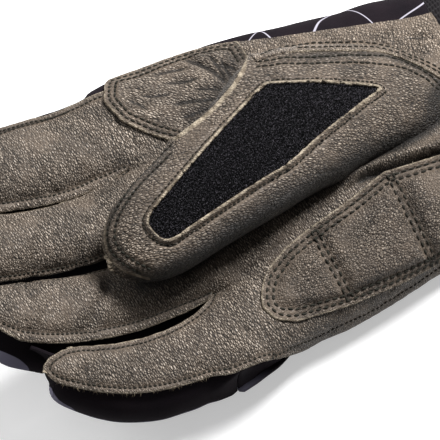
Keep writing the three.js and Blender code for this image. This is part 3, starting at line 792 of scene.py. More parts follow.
def seen_on(path, sheet):
    """A path in the picture laid on a sheet, as the camera sees it, a point for each pixel."""
    line = even_line(curved([(x, y, 0.0) for x, y in path]), 1.0)
    tree = sheet.bvh()
    found = []
    for x, y, _ in line:
        way = (x - PICTURE / 2) * RIGHT - (y - PICTURE / 2) * UP - FOCUS * BACK
        hit = tree.ray_cast(Vector(CAMERA_PLACE), Vector(way).normalized())[0]
        if hit is not None:
            found.append(hit[:])
    return np.array(found)


# Materials and node trees
def color(value):
    return value if isinstance(value, bpy.types.NodeSocket) else (*value, 1.0)


class Nodes:
    """A node tree, with short ways to add nodes and join them."""

    def __init__(self, tree):
        self.tree = tree

    def put(self, socket, value):
        if isinstance(value, bpy.types.NodeSocket):
            self.tree.links.new(value, socket)
        else:
            socket.default_value = value

    def add(self, kind, inputs=None, **settings):
        node = self.tree.nodes.new(kind)
        for name, value in settings.items():
            setattr(node, name, value)
        for key, value in (inputs or {}).items():
            self.put(node.inputs[key], value)
        return node

    def first(self, kind, inputs, **settings):
        return self.add(kind, inputs, **settings).outputs[0]

    def math(self, operation, a, b=0.0):
        return self.first("ShaderNodeMath", {0: a, 1: b}, operation=operation)

    def plus(self, a, b):
        return self.math("ADD", a, b)

    def minus(self, a, b):
        return self.math("SUBTRACT", a, b)

    def times(self, a, b):
        return self.math("MULTIPLY", a, b)

    def vector(self, operation, a, b):
        return self.first("ShaderNodeVectorMath", {0: a, 1: b}, operation=operation)


class Finish(Nodes):
    """A material's nodes."""

    def __init__(self, name):
        self.material = bpy.data.materials.new(name)
        self.material.use_nodes = True
        super().__init__(self.material.node_tree)
        self.tree.nodes.clear()
        self.surface = self.add("ShaderNodeBsdfPrincipled")
        self.add("ShaderNodeOutputMaterial", {"Surface": self.surface.outputs["BSDF"]})

    def number(self, name):
        return self.add("ShaderNodeAttribute", attribute_name=name).outputs["Fac"]

    def place(self, turn=0.0, stretch=(1, 1, 1)):
        """Object coordinates in millimetres, turned about Z and stretched."""
        coordinates = self.add("ShaderNodeTexCoord").outputs["Object"]
        scale = tuple(1000 / s for s in stretch)
        turned = self.turned(coordinates, turn)
        return self.first("ShaderNodeMapping", {"Vector": turned, "Scale": scale})

    def turned(self, place, turn):
        return self.first("ShaderNodeMapping", {"Vector": place, "Rotation": (0, 0, radians(turn))})

    def along_x(self, place):
        return self.first("ShaderNodeSeparateXYZ", {0: place})

    def noise(self, place, size, detail=2.0, output="Fac", roughness=0.5):
        inputs = {"Vector": place, "Scale": 1 / size, "Detail": detail, "Roughness": roughness}
        return self.add("ShaderNodeTexNoise", inputs).outputs[output]

    def cells(self, place, feature):
        inputs = {"Vector": place, "Scale": 1.0}
        return self.add("ShaderNodeTexVoronoi", inputs, feature=feature).outputs["Distance"]

    def bent(self, place, size, amount):
        """Coordinates pushed about by a noise."""
        centred = self.vector("SUBTRACT", self.noise(place, size, 2.0, "Color"), (0.5, 0.5, 0.5))
        return self.vector("ADD", place, self.vector("MULTIPLY", centred, (amount,) * 3))

    def ramp(self, value, low, high, from_value=0.0, to_value=1.0):
        inputs = {"Value": value, 1: low, 2: high, 3: from_value, 4: to_value}
        return self.first("ShaderNodeMapRange", inputs, interpolation_type="SMOOTHSTEP")

    def mix(self, share, a, b, blend="MIX"):
        inputs = {0: share, 6: color(a), 7: color(b)}
        return self.add("ShaderNodeMix", data_type="RGBA", blend_type=blend, inputs=inputs).outputs[2]

    def ridge(self, value, width):
        """1 where a noise passes its middle value, falling to 0 within a width."""
        return self.ramp(self.math("ABSOLUTE", self.minus(value, 0.5)), 0.0, width, 1.0, 0.0)

    def bump(self, height):
        """Height is in millimetres."""
        inputs = {"Height": self.times(height, MM), "Distance": 1.0, "Strength": 1.0}
        self.put(self.surface.inputs["Normal"], self.first("ShaderNodeBump", inputs))

    def set(self, **values):
        for name, value in values.items():
            value = color(value) if isinstance(value, tuple) else value
            self.put(self.surface.inputs[name.replace("_", " ")], value)


# Grain colours: painted shade on each ridge's side away from the lamp, the middle tone, and painted highlight
# on the side towards it
GRAIN_PAINTED_SHADE = (0.009, 0.0068, 0.0046)
LEATHER_MID = (0.093, 0.0705, 0.052)
GRAIN_PAINTED_HIGHLIGHT = (0.285, 0.241, 0.197)
# A dark colour for creases: partly the grain's own darker crevices, and painted shade in the creases, folds,
# grooves and stitch holes
CREASE_TONE_AND_PAINTED_SHADE = (0.008, 0.0063, 0.005)
RAW_EDGE = (0.34, 0.285, 0.212)
RAW_SHADE = (0.12, 0.093, 0.064)
PRINT_COLOR = (0.3, 0.285, 0.38)
LINE_COLOR = (0.42, 0.4, 0.46)
# The side from which the grain's ridges are painted as lit, and how far apart their two samples are
GRAIN_LIGHT = radians(28.0)
GRAIN_STEP = 0.2
# Heights in mm
PEBBLE_HEIGHT = 0.25
PORE_HEIGHT = 0.04
FOLD_DEPTH = 0.35
HOLE_DEPTH = 0.25


def leather(name, turn, across, along, depth, brightness_and_painted_light):
    """Soft grained leather: short wavy ridges across the turned X axis, with their sizes in mm."""
    f = Finish(name)
    wavy = f.bent(f.place(turn, (across, along, 0.8)), 3.0, 1.5)
    way = GRAIN_LIGHT + radians(turn)
    step = (GRAIN_STEP * cos(way) / across, GRAIN_STEP * sin(way) / along, 0.0)
    slope = f.minus(f.cells(f.vector("ADD", wavy, step), "F1"), f.cells(wavy, "F1"))
    cells = f.cells(wavy, "DISTANCE_TO_EDGE")
    pebbles = f.ramp(cells, 0.0, 0.3)
    folds_place = f.bent(f.place(turn, (across * 1.6, along * 3.2, 1.5)), 2.5, 1.2)
    folds = f.ridge(f.noise(folds_place, 1.7, roughness=0.55), 0.045)
    patches = f.noise(f.place(), 11.0)
    edge, seam, run, shade, painted_light = [f.number(field) for field in ("edge", "seam", "run", "shade", "painted_light")]
    relief = f.ramp(patches, 0.3, 0.6, 0.6 * depth, depth)
    relief = f.times(relief, f.ramp(seam, 0.3, 1.5, 0.4, 1.0))
    strength = f.times(folds, f.ramp(patches, 0.42, 0.65, 0.1 * depth, 0.8 * depth))
    gaps = f.plus(0.5, f.times(f.math("COSINE", run), 0.5))
    holes = f.times(f.ramp(seam, 0.0, 0.75, 1.0, 0.0), gaps)
    height = f.times(f.times(pebbles, PEBBLE_HEIGHT), relief)
    height = f.plus(height, f.times(f.noise(f.place(), 0.4), PORE_HEIGHT))
    height = f.minus(height, f.times(strength, FOLD_DEPTH))
    f.bump(f.minus(height, f.times(holes, HOLE_DEPTH)))

    # Painted light: each grain ridge is painted lighter on its side towards the lamp and darker on the other
    # side
    tilt = f.times(slope, relief)
    tone = f.mix(f.ramp(tilt, -0.23, -0.01), GRAIN_PAINTED_SHADE, LEATHER_MID)
    tone = f.mix(f.ramp(tilt, 0.05, 0.28), tone, GRAIN_PAINTED_HIGHLIGHT)
    # Painted shade: the grain's creases, partly their own darker tone, the folds, the painted fold and groove
    # lines, and the stitch holes are darkened
    crease_tone_and_shade = f.times(f.ramp(cells, 0.0, 0.13, 1.0, 0.0), f.ramp(relief, 0.3, 1.0, 0.3, 0.85))
    for share in (crease_tone_and_shade, f.times(strength, 0.7), f.ramp(shade, 0.15, 1.3, 0.0, 0.85), f.times(holes, 0.75)):
        tone = f.mix(share, tone, CREASE_TONE_AND_PAINTED_SHADE)
    # Random tone, scaled by each piece's brightness, which is partly painted light
    uneven = f.ramp(f.noise(f.place(), 9.0, 3.0), 0.3, 0.7, 0.74 * brightness_and_painted_light, 1.16 * brightness_and_painted_light)
    # Painted light: this field darkens the leather as painted shade, and where it is below 0 brightens it as
    # a painted highlight
    uneven = f.times(uneven, f.ramp(painted_light, -0.5, 1.0, 1.45, 0.12))
    tone = f.mix(1.0, tone, f.first("ShaderNodeCombineColor", {0: uneven, 1: uneven, 2: uneven}), "MULTIPLY")
    raw = f.mix(f.ramp(f.noise(f.place(), 2.2, 4.0), 0.36, 0.62), RAW_SHADE, RAW_EDGE)
    worn = f.plus(f.ramp(edge, 0.05, 0.5, 0.6, 0.0), f.ramp(edge, -0.25, 0.0, 0.4, 0.0))
    tone = f.mix(worn, tone, raw)
    f.set(Base_Color=tone, Roughness=f.ramp(pebbles, 0.0, 1.0, 0.7, 0.52), Specular_IOR_Level=0.34)
    return f.material


# The print's thin lines: how each set is turned, and how far apart its lines are
PRINT_LINES = ((58, 15.0), (-16, 21.0))


def back_fabric(name, printed):
    """Black stretch fabric with a plum cast; printed adds thin generic lines and soft blots."""
    f = Finish(name)
    weave = f.noise(f.place(20, (0.35, 1.2, 1.0)), 0.35)
    tone = f.mix(f.noise(f.place(), 9.0, 3.0), (0.0036, 0.0033, 0.0048), (0.0115, 0.0076, 0.0098))
    tone = f.mix(f.ramp(weave, 0.4, 0.7, 0.0, 0.3), tone, (0.022, 0.018, 0.022))
    f.bump(f.times(weave, 0.06))
    if printed:
        wandering = f.bent(f.place(), 60.0, 30.0)
        lines = []
        for turn, spacing in PRINT_LINES:
            away = f.math("PINGPONG", f.along_x(f.turned(wandering, turn)), spacing / 2)
            lines.append(f.ramp(away, 0.12, 0.28, 1.0, 0.0))
        x = f.along_x(f.place())
        thin = f.times(f.math("MAXIMUM", *lines), f.ramp(x, -10.0, 0.0))
        under = f.number("under")
        waved = f.plus(under, f.times(f.noise(f.place(), 17.0, 1.0), 0.7))
        facing_down = f.times(f.ramp(under, 0.26, 0.32), f.ramp(under, 0.75, 0.7))
        blots = f.times(f.times(f.ramp(waved, 0.5, 0.54), facing_down), f.ramp(x, -18.0, -32.0))
        tone = f.mix(f.times(thin, 0.8), tone, LINE_COLOR)
        tone = f.mix(f.times(blots, 0.9), tone, PRINT_COLOR)
    f.set(Base_Color=tone, Roughness=0.9, Specular_IOR_Level=0.06)
    return f.material


def knit():
    """Dark rib knit: fine loops in columns along the cuff."""
    f = Finish("knit")
    wave = {"Vector": f.place(), "Scale": 0.32, "Distortion": 1.5, "Detail": 1.0}
    loops = f.add("ShaderNodeTexWave", wave, bands_direction="X").outputs["Fac"]
    fuzz = f.noise(f.place(0, (1.0, 0.5, 0.5)), 0.4, 3.0)
    f.bump(f.plus(f.times(loops, 0.2), f.times(fuzz, 0.2)))
    tone = f.mix(fuzz, (0.004, 0.0038, 0.0045), (0.022, 0.019, 0.021))
    f.set(Base_Color=tone, Roughness=0.92, Sheen_Weight=0.05, Specular_IOR_Level=0.08)
    return f.material


def fleece(name, dark, light):
    f = Finish(name)
    tufts = f.noise(f.place(), 0.5)
    f.bump(f.times(tufts, 0.4))
    f.set(Base_Color=f.mix(f.ramp(tufts, 0.5, 0.62), dark, light), Roughness=1.0, Specular_IOR_Level=0.08)
    return f.material


def thread():
    f = Finish("thread")
    ply = f.noise(f.place(40, (0.2, 1.0, 1.0)), 0.3)
    f.bump(f.times(ply, 0.08))
    tone = f.mix(ply, (0.006, 0.0058, 0.0045), (0.024, 0.0225, 0.0165))
    f.set(Base_Color=tone, Roughness=0.75, Specular_IOR_Level=0.15)
    return f.material


def edge_fuzz():
    f = Finish("edge_fuzz")
    f.set(Base_Color=f.mix(f.noise(f.place(), 2.0), (0.2, 0.15, 0.1), (0.42, 0.34, 0.23)), Roughness=0.8)
    return f.material


# Leather by its turn, the grain's sizes across and along, depth, and brightness, which is partly painted
# light for how each piece faces the lamps
FINGER_GRAIN = leather("palm_leather", -9, 0.52, 1.2, 1.0, 0.97)
PANEL_GRAIN = leather("panel_leather", 30, 0.7, 1.05, 1.0, 1.3)
PATCH_GRAIN = leather("patch_leather", 132, 0.52, 1.2, 1.0, 1.08)
THUMB_GRAIN = leather("thumb_leather", 97, 0.66, 1.3, 1.1, 1.08)
PAD_GRAIN = leather("pad_leather", 60, 0.56, 0.9, 1.0, 0.95)
FABRIC_LOOK = back_fabric("back_fabric", True)
SIDE_LOOK = back_fabric("finger_side_fabric", False)
KNIT_LOOK = knit()
FLEECE_LOOK = fleece("fleece", (0.002, 0.002, 0.0023), (0.012, 0.0118, 0.013))
PILE_LOOK = fleece("fleece_pile", (0.0008, 0.0008, 0.0011), (0.16, 0.148, 0.172))
THREAD_LOOK = thread()
FUZZ_LOOK = edge_fuzz()


# Pieces
def link(name, mesh):
    piece = bpy.data.objects.new(name, mesh)
    bpy.context.collection.objects.link(piece)
    return piece


def attach(piece, node):
    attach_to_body(piece, "root")
    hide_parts(node)
    return piece


def add_piece(name, sheet, material, node):
    points, faces = sheet.points, sheet.faces
    mesh = bpy.data.meshes.new(name)
    mesh.vertices.add(len(points))
    mesh.vertices.foreach_set("co", metres(points).ravel().astype(np.float32))
    mesh.loops.add(len(faces) * 3)
    mesh.loops.foreach_set("vertex_index", faces.ravel().astype(np.int32))
    mesh.polygons.add(len(faces))
    mesh.polygons.foreach_set("loop_start", np.arange(0, len(faces) * 3, 3, dtype=np.int32))
    for field, values in sheet.fields.items():
        attribute = mesh.attributes.new(field, "FLOAT", "POINT")
        attribute.data.foreach_set("value", values.astype(np.float32))
    mesh.update(calc_edges=True)
    mesh.validate()
    mesh.shade_smooth()
    mesh.materials.append(material)
    return attach(link(name, mesh), node)


FINGER_COLUMNS = 52
FINGER_ROWS = 92
HAND_ROWS = 118
LEATHER_TIP = 0.985
TIP_ROUNDING = 0.9
VALLEY_EASE = 1.22 / 6


def tip_share(f):
    """How much of the leather's width is left towards its rounded end on a finger."""
    return np.sqrt(np.maximum(0.0, 1 - smooth(1, (f - TIP_ROUNDING) / (LEATHER_TIP - TIP_ROUNDING)) ** 2))


def eased_heights(heights):
    """Heights along the finger line with the valleys between the fingers eased."""
    width = VALLEY_EASE * FINGER_COLUMNS
    reach = int(3 * width)
    weights = np.exp(-((np.arange(-reach, reach + 1) / width) ** 2) / 2)
    padded = np.pad(heights, reach, mode="edge")
    return np.convolve(padded, weights / weights.sum(), mode="valid")


def hand_grid(front, angles, first_edge, last_edge, rows):
    """Rows of points from the finger line to the wrist, fading from the fingers' shape to the hand's."""
    share = (angles - angles[0]) / (angles[-1] - angles[0])
    eased = eased_heights(front[:, 2])
    made = []
    for g in np.linspace(0, 1, rows + 1):
        x = lerp(front[:, 0], WRIST_X - 0.15, g)
        fade = smooth(KNUCKLES, g)
        target = lerp(first_edge(x), last_edge(x), share)
        row = palm_point(x, lerp(angles, target, fade))
        height = lerp(front[:, 2], eased, smooth(0.1, g))
        row[:, 1] = lerp(front[:, 1], row[:, 1], fade)
        row[:, 2] = lerp(height, row[:, 2], fade)
        made.append(row)
    return np.array(made)


def palm_grids():
    """The palm's skin: one grid for each finger and one for the hand."""
    strips, front = [], []
    for k in range(4):
        f = np.linspace(0, LEATHER_TIP, FINGER_ROWS + 1)[:, None]
        across = np.linspace(0, 1, FINGER_COLUMNS + 1)[None, :]
        angle = lerp(-leather_edge(k, f, -1), leather_edge(k, f, 1), across) * np.maximum(tip_share(f), 0.04)
        strips.append(finger_point(k, f, angle))
        row = strips[-1][0][::-1]
        front.append(row if k == 0 else row[1:])
    front = np.concatenate(front)

    def first_edge(x):
        return column(PALM, "thumb_edge", x)

    def last_edge(x):
        return -column(PALM, "little_edge", x)

    return strips + [hand_grid(front, palm_angle(front), first_edge, last_edge, HAND_ROWS)]


PALM_GRIDS = palm_grids()
BASE_CURVE = outline(BASE_OUTLINE)
PATCH_CURVE = outline(PATCH_OUTLINE)
WINDOW_CURVE = outline(WINDOW, -1.4)

# Wall thicknesses and the bulge of a leather wall's rim
LEATHER_WALL = 1.1
PATCH_WALL = 1.0
RIM_BULGE = 0.25
# Beyond this x the leather runs into the cuff, so its end there is no raw edge
LEATHER_END_X = 118.5
# How far pieces lie over (lift) or under (depth) the skin, in mm
BASE_LIFT = 0.9
PATCH_LIFT = 1.3
PAD_LIFT = 0.9
PAD_FILLING = 1.3
THUMB_BACK_DEPTH = 0.9
WIPE_DEPTH = 0.75
WIPE_MARGIN = 2.2
# Stitch rows by their distance from the raw edge, and half the gap between the pad's pairs of cross rows
PALM_ROWS = [1.35]
PATCH_ROWS = [1.4, 3.3]
PAD_ROWS = [1.5, 3.4]
CHANNEL_HALF = 3.0

# Stitches in mm: pitch, length and thickness, and the node that each group is sewn to
STITCHES = {
    "fingers": (1.6, 1.15, 0.55, "palm_leather"),
    "panels": (2.1, 1.6, 0.8, "thumb_base_panel"),
    "thumb": (1.6, 1.15, 0.55, "thumb_leather"),
    "heavy": (2.1, 1.75, 0.9, "thumb_leather"),
    "tip": (1.9, 1.5, 0.9, "thumb_leather"),
    "pad": (2.5, 1.85, 0.8, "palm_pad"),
}
seams = {group: [] for group in STITCHES}


def sewn(sheet, rows, group, depth=0.28, width=0.8):
    """The sheet pressed in along its stitch rows. The rows are kept for the stitches."""
    distance, run = beside_lines(sheet.points, rows)
    turn = 2 * pi * run / STITCHES[group][0]
    push = -depth * np.exp(-((distance / width) ** 2)) * (1 + 0.3 * np.cos(turn))
    sheet = sheet.moved(push)
    sheet.fields["seam"] = distance
    sheet.fields["run"] = turn
    seams[group].append((rows, sheet.bvh()))
    return sheet


def wrinkled(sheet, seed, turn, deep=0.5, amount=1.0):
    """Soft uneven folds: broad waves and thin creases across the turned X axis."""
    p = sheet.points
    calm = smooth(6.0, sheet.fields["edge"])
    broad = noise(p, 13.0, seed, turn, 0.7) * deep
    medium = noise(p, 5.5, seed + 1, turn, 0.6) * 0.22
    lines = creases(p, 6.5, seed + 2, turn, 0.55, 0.1) * 0.34
    small = creases(p, 3.6, seed + 3, turn + 15, 0.6, 0.13) * 0.14
    waves = (broad + medium) * (0.15 + 0.85 * calm)
    return sheet.moved(amount * (waves - (lines + small) * (0.3 + 0.7 * calm)))


def laid_on(line, tree, lift):
    """A line laid on a finished surface and lifted a little off it."""
    laid = []
    for point in line.tolist():
        spot, normal = tree.find_nearest(Vector(point))[:2]
        laid.append((spot + normal * lift)[:])
    return np.array(laid)


def edge_field(sheet, lines):
    sheet.fields["edge"] = beside_lines(sheet.points, [eased_line(line) for line in lines])[0]
    return sheet


def relaid(rows, sheet):
    tree = sheet.bvh()
    return [laid_on(row, tree, 0.0) for row in rows]


def rows_at(sheet, distances, wanted):
    """Stitch rows at distances from a sheet's raw edges, where wanted."""
    rows = []
    for distance in distances:
        lines = [eased_line(line) for line in sheet.contour(sheet.fields["edge"], distance)]
        rows += parts_of(lines, wanted)
    return rows


EDGE_POINTS = 120


def finger_edge(k, side, lap=0.0):
    """The raw edge of the leather along one side of a finger, or a line that many degrees inside it."""
    f = np.linspace(0, LEATHER_TIP, EDGE_POINTS)
    return finger_point(k, f, (side * leather_edge(k, f, side) - lap) * tip_share(f))


# How far the leather's edges stand out along the fingers, and how much more at some: finger, side and height
FLARE = 0.8
FLARE_WIDTH = 2.6
WIDE_FLARES = [((0, 1), -0.65), ((0, -1), 1.5), ((1, 1), 0.5), ((2, -1), 1.5), ((3, 1), 0.4)]

# The share of the index finger's swelling that its leather takes
INDEX_LEATHER_SHARE = 0.62
# How far the palm reaches under the panel at the thumb's root
BASE_OVERLAP = 4.0

# Folds in the palm panel, in plan, and in the other panels, in the picture, each with a depth and a width
PALM_FOLDS = [
    ([(3, 49), (3, 40), (3, 29)], 0.9, 2.4),
    ([(13, 47), (14, 39), (18, 30)], 0.7, 2.0),
    ([(-18, 46), (-16, 34), (-13, 21)], 1.1, 2.4),
    ([(-3, 18), (-9, 9), (-18, -3)], 1.0, 2.2),
    ([(-21, 16), (-27, 5), (-34, -4)], 1.0, 2.2),
    ([(-6, -8), (-15, -16), (-23, -27)], 1.2, 2.0),
    ([(-25, -11), (-31, -16), (-36, -24)], 0.9, 2.0),
    ([(-4, -30), (-11, -37), (-17, -47)], 1.0, 2.0),
    ([(-21, -30), (-25, -36), (-29, -42)], 0.8, 1.8),
    ([(18, -25), (22, -34), (25, -45)], 0.9, 1.8),
    ([(24, -20), (36, -20), (51, -12)], 1.0, 1.8),
    ([(5, -20), (12, -13), (24, -10)], 0.9, 1.6),
    ([(1, 45), (1, 38), (2, 31)], 0.4, 0.6),
    ([(-14, 44), (-15, 35), (-12, 25)], 0.4, 0.6),
    ([(-8, 10), (-13, 4), (-19, -1)], 0.4, 0.6),
    ([(-10, -12), (-17, -19), (-22, -25)], 0.4, 0.6),
    ([(-6, -33), (-12, -39), (-16, -45)], 0.4, 0.6),
]
BASE_FOLDS = [([(400, 38), (415, 37), (434, 38)], 0.9, 4.0)]
PATCH_FOLDS = [
    ([(230, 87), (216, 72), (198, 62), (178, 58)], 1.5, 4.0),
    ([(227, 80), (215, 62), (206, 52)], 1.1, 3.0),
    ([(222, 96), (205, 100), (186, 101), (168, 106)], 1.2, 3.5),
    ([(213, 106), (196, 113), (178, 119)], 0.8, 3.0),
    ([(234, 80), (224, 68), (220, 56)], 1.2, 3.0),
    ([(240, 72), (228, 66), (212, 64)], 1.0, 2.5),
    ([(203, 76), (184, 82), (160, 83)], 0.9, 3.0),
    ([(225, 90), (206, 88), (190, 90)], 0.8, 2.5),
    ([(190, 68), (172, 70), (150, 76)], 0.8, 3.0),
    ([(176, 92), (158, 96), (138, 96)], 0.7, 3.0),
    ([(150, 112), (140, 104), (126, 100)], 0.6, 3.0),
]


def flared(sheet):
    """The seam allowances along the fingers stand out, most where two fingers close on each other."""
    edge = sheet.fields["edge"]
    amount = FLARE * (1 - smooth(FLARE_WIDTH, edge)) * (1 - smooth(22, sheet.points[:, 0] - 30))
    for (k, side), extra in WIDE_FLARES:
        edge_line = finger_edge(k, side)
        near = beside_lines(sheet.points, [edge_line])[0]
        from_fork = np.linalg.norm(sheet.points - edge_line[0], axis=1)
        amount = amount + extra * (1 - smooth(FLARE_WIDTH, near)) * smooth(12.0, from_fork)
    return sheet.moved(amount)


def make_palm():
    sheet = Sheet.grid(*PALM_GRIDS)
    seen = sheet.seen()
    sheet = sheet.moved(swell(seen, HEEL_SWELL) + INDEX_LEATHER_SHARE * swell(seen, INDEX_SWELL))
    sheet = sheet.cut(BASE_OVERLAP - inside_outline(sheet.points[:, :2], BASE_CURVE))
    for shape in (SLIT_IN_VIEW, INDEX_SLIT, TOP_IN_VIEW, LITTLE_TIP, RING_LOW):
        sheet = sheet.cut(-inside_outline(sheet.seen(), np.array(shape, float)))

    def free(line):
        return (line[:, 0] < LEATHER_END_X) & (inside_outline(line[:, :2], BASE_CURVE) < BASE_OVERLAP / 2)

    edge_field(sheet, parts_of(sheet.edge_lines(), free))

    def stitched(line):
        thumb_side = (line[:, 1] > 30) & (line[:, 0] > 15)
        low_side = (line[:, 1] < -20) & (line[:, 0] > 28) & (line[:, 2] < 22)
        below_index = near_path(in_view(line), BELOW_INDEX, 3.0) > 0.25
        return ~thumb_side & ~low_side & ~below_index & (line[:, 0] < 117)

    rows = rows_at(sheet, PALM_ROWS, stitched)
    rows += [seen_on(path, sheet) for path in (LOW_ROW, INDEX_TOP_ROW)]
    sheet = flared(sheet)
    rows = relaid(rows, sheet)
    sheet = wrinkled(sheet, seed=5, turn=8)
    sheet = folded(sheet, sheet.points[:, :2], PALM_FOLDS, fold_shade_strength=0.3)
    # Painted shade along the grooves by the ridge and under the thumb's low side
    sheet.fields["painted_light"] = np.clip(swell(sheet.seen(), PALM_SHADE), 0, 1)
    sheet = sheet.moved(swell(sheet.seen(), PALM_RIDGE))
    sheet = sewn(sheet, rows, "fingers")
    wall = sheet.slab(LEATHER_WALL, RIM_BULGE)
    add_piece("palm_panel", wall, FINGER_GRAIN, "palm_leather")
    return sheet


palm = make_palm()


def raised_over(sheet, tree, clearance, softness):
    """The sheet lifted clear of what lies under it, easing into the lift."""
    points = sheet.points.copy()
    for i, (x, y, z) in enumerate(points.tolist()):
        hit = tree.ray_cast(Vector((x, y, 90)), Vector((0, 0, -1)))[0]
        if hit is not None:
            gap = z - hit[2] - clearance
            points[i, 2] = z - gap / 2 + (gap**2 / 4 + softness**2) ** 0.5
    return Sheet(points, sheet.faces, **sheet.fields)


def make_base_panel(thumb_tree):
    sheet = Sheet.grid(*PALM_GRIDS[4:])
    sheet = sheet.cut(inside_outline(sheet.points[:, :2], outline(BASE_SPREAD))).moved(BASE_LIFT)
    sheet = raised_over(sheet, thumb_tree, clearance=0.7, softness=0.5)
    curve = curved([*BASE_IN_VIEW, BASE_IN_VIEW[0]], 2)
    sheet = sheet.cut(inside_outline(sheet.seen(), curve))
    edge_field(sheet, parts_of(sheet.edge_lines(), lambda line: line[:, 0] < LEATHER_END_X))
    rows = [seen_on(path, sheet) for path in (BASE_ROW_A, BASE_ROW_B)]
    plain = 1 - smooth(30, sheet.seen()[:, 0] - 272)
    sheet.fields["edge"] = sheet.fields["edge"] + np.maximum(1.5 * plain, 0.3)
    sheet = wrinkled(sheet, seed=21, turn=30, deep=0.45)
    sheet = folded(sheet, sheet.seen(), BASE_FOLDS, fold_shade_strength=1.0)
    sheet = sewn(sheet, rows, "panels", depth=0.35)
    wall = sheet.slab(LEATHER_WALL, RIM_BULGE)
    add_piece("thumb_base_panel.leather", wall, PANEL_GRAIN, "thumb_base_panel")


def make_patch():
    sheet = Sheet.grid(*PALM_GRIDS[:1], *PALM_GRIDS[4:])
    sheet = sheet.cut(inside_outline(sheet.points[:, :2], PATCH_CURVE)).moved(PATCH_LIFT)
    sheet = sheet.cut(inside_outline(sheet.seen(), outline(PATCH_IN_VIEW)))
    edge_field(sheet, sheet.edge_lines())
    rows = rows_at(sheet, PATCH_ROWS, lambda line: (line[:, 0] < 30) | (line[:, 1] > 50))
    sheet = wrinkled(sheet.finer(), seed=33, turn=10, deep=0.7)
    # Painted shade along the patch's folds and round the pucker at the thumb's fork
    sheet = folded(sheet, sheet.seen(), PATCH_FOLDS, fold_shade_strength=1.9)
    sheet.fields["painted_light"] = swell(sheet.seen(), PUCKER_SHADE)
    sheet = sewn(sheet, rows, "panels", depth=0.35)
    wall = sheet.slab(PATCH_WALL, RIM_BULGE)
    add_piece("index_patch.leather", wall, PATCH_GRAIN, "index_patch")


def shifted(path, across):
    """A flat path moved sideways."""
    path = np.array(path, float)
    way = unit(np.gradient(path, axis=0))
    return path + np.stack([-way[:, 1], way[:, 0]], axis=1) * across


def make_pad():
    sheet = Sheet.grid(*PALM_GRIDS[3:])
    sheet = sheet.moved(swell(sheet.seen(), HEEL_SWELL) + PAD_LIFT)
    inside = inside_outline(sheet.seen(), outline(PAD_IN_VIEW))
    faces_camera = sheet.normals() @ BACK > 0.02
    sheet = sheet.cut(np.where(faces_camera, inside, -1.0))
    edge_field(sheet, sheet.edge_lines())
    rows = rows_at(sheet, PAD_ROWS, lambda line: line[:, 0] < 118)
    for path in (PAD_CROSS_A, PAD_CROSS_B):
        rows += [seen_on(shifted(path, across), sheet) for across in (-CHANNEL_HALF, CHANNEL_HALF)]
    rows = [row for row in rows if len(row) > 3]
    filling = smooth(3.5, beside_lines(sheet.points, rows)[0]) * (sheet.fields["edge"] > CHANNEL_HALF)
    sheet = sheet.moved(PAD_FILLING * filling)
    sheet = wrinkled(sheet, seed=47, turn=70, deep=0.35, amount=0.8)
    sheet = sewn(sheet, rows, "pad", depth=0.45, width=0.9)
    wall = sheet.slab(PATCH_WALL, RIM_BULGE)
    pad = add_piece("palm_pad.leather", wall, PAD_GRAIN, "palm_pad")


make_patch()
make_pad()


THUMB_ROWS = 170
THUMB_COLUMNS = 120
# Beside the window, a raised lip and the dent of a stitch row: distance from its edge, height and width
LIP = (0.4, 0.4, 0.7)
WINDOW_ROW = (1.75, -0.4, 0.6)


def thumb_grid(first, last, tip_x=THUMB_TIP_X):
    """Rows along the thumb between two angles, the first given as a number or as a rule of x."""
    x = lerp(tip_x, THUMB_ROOT_X, np.linspace(1, 0, THUMB_ROWS + 1) ** 1.35)[:, None]
    first = first(x) if callable(first) else first
    return thumb_point(x, lerp(first, last, np.linspace(0, 1, THUMB_COLUMNS + 1)[None, :]))


def window_distance(sheet):
    return inside_outline(sheet.points[:, :2], WINDOW_CURVE)


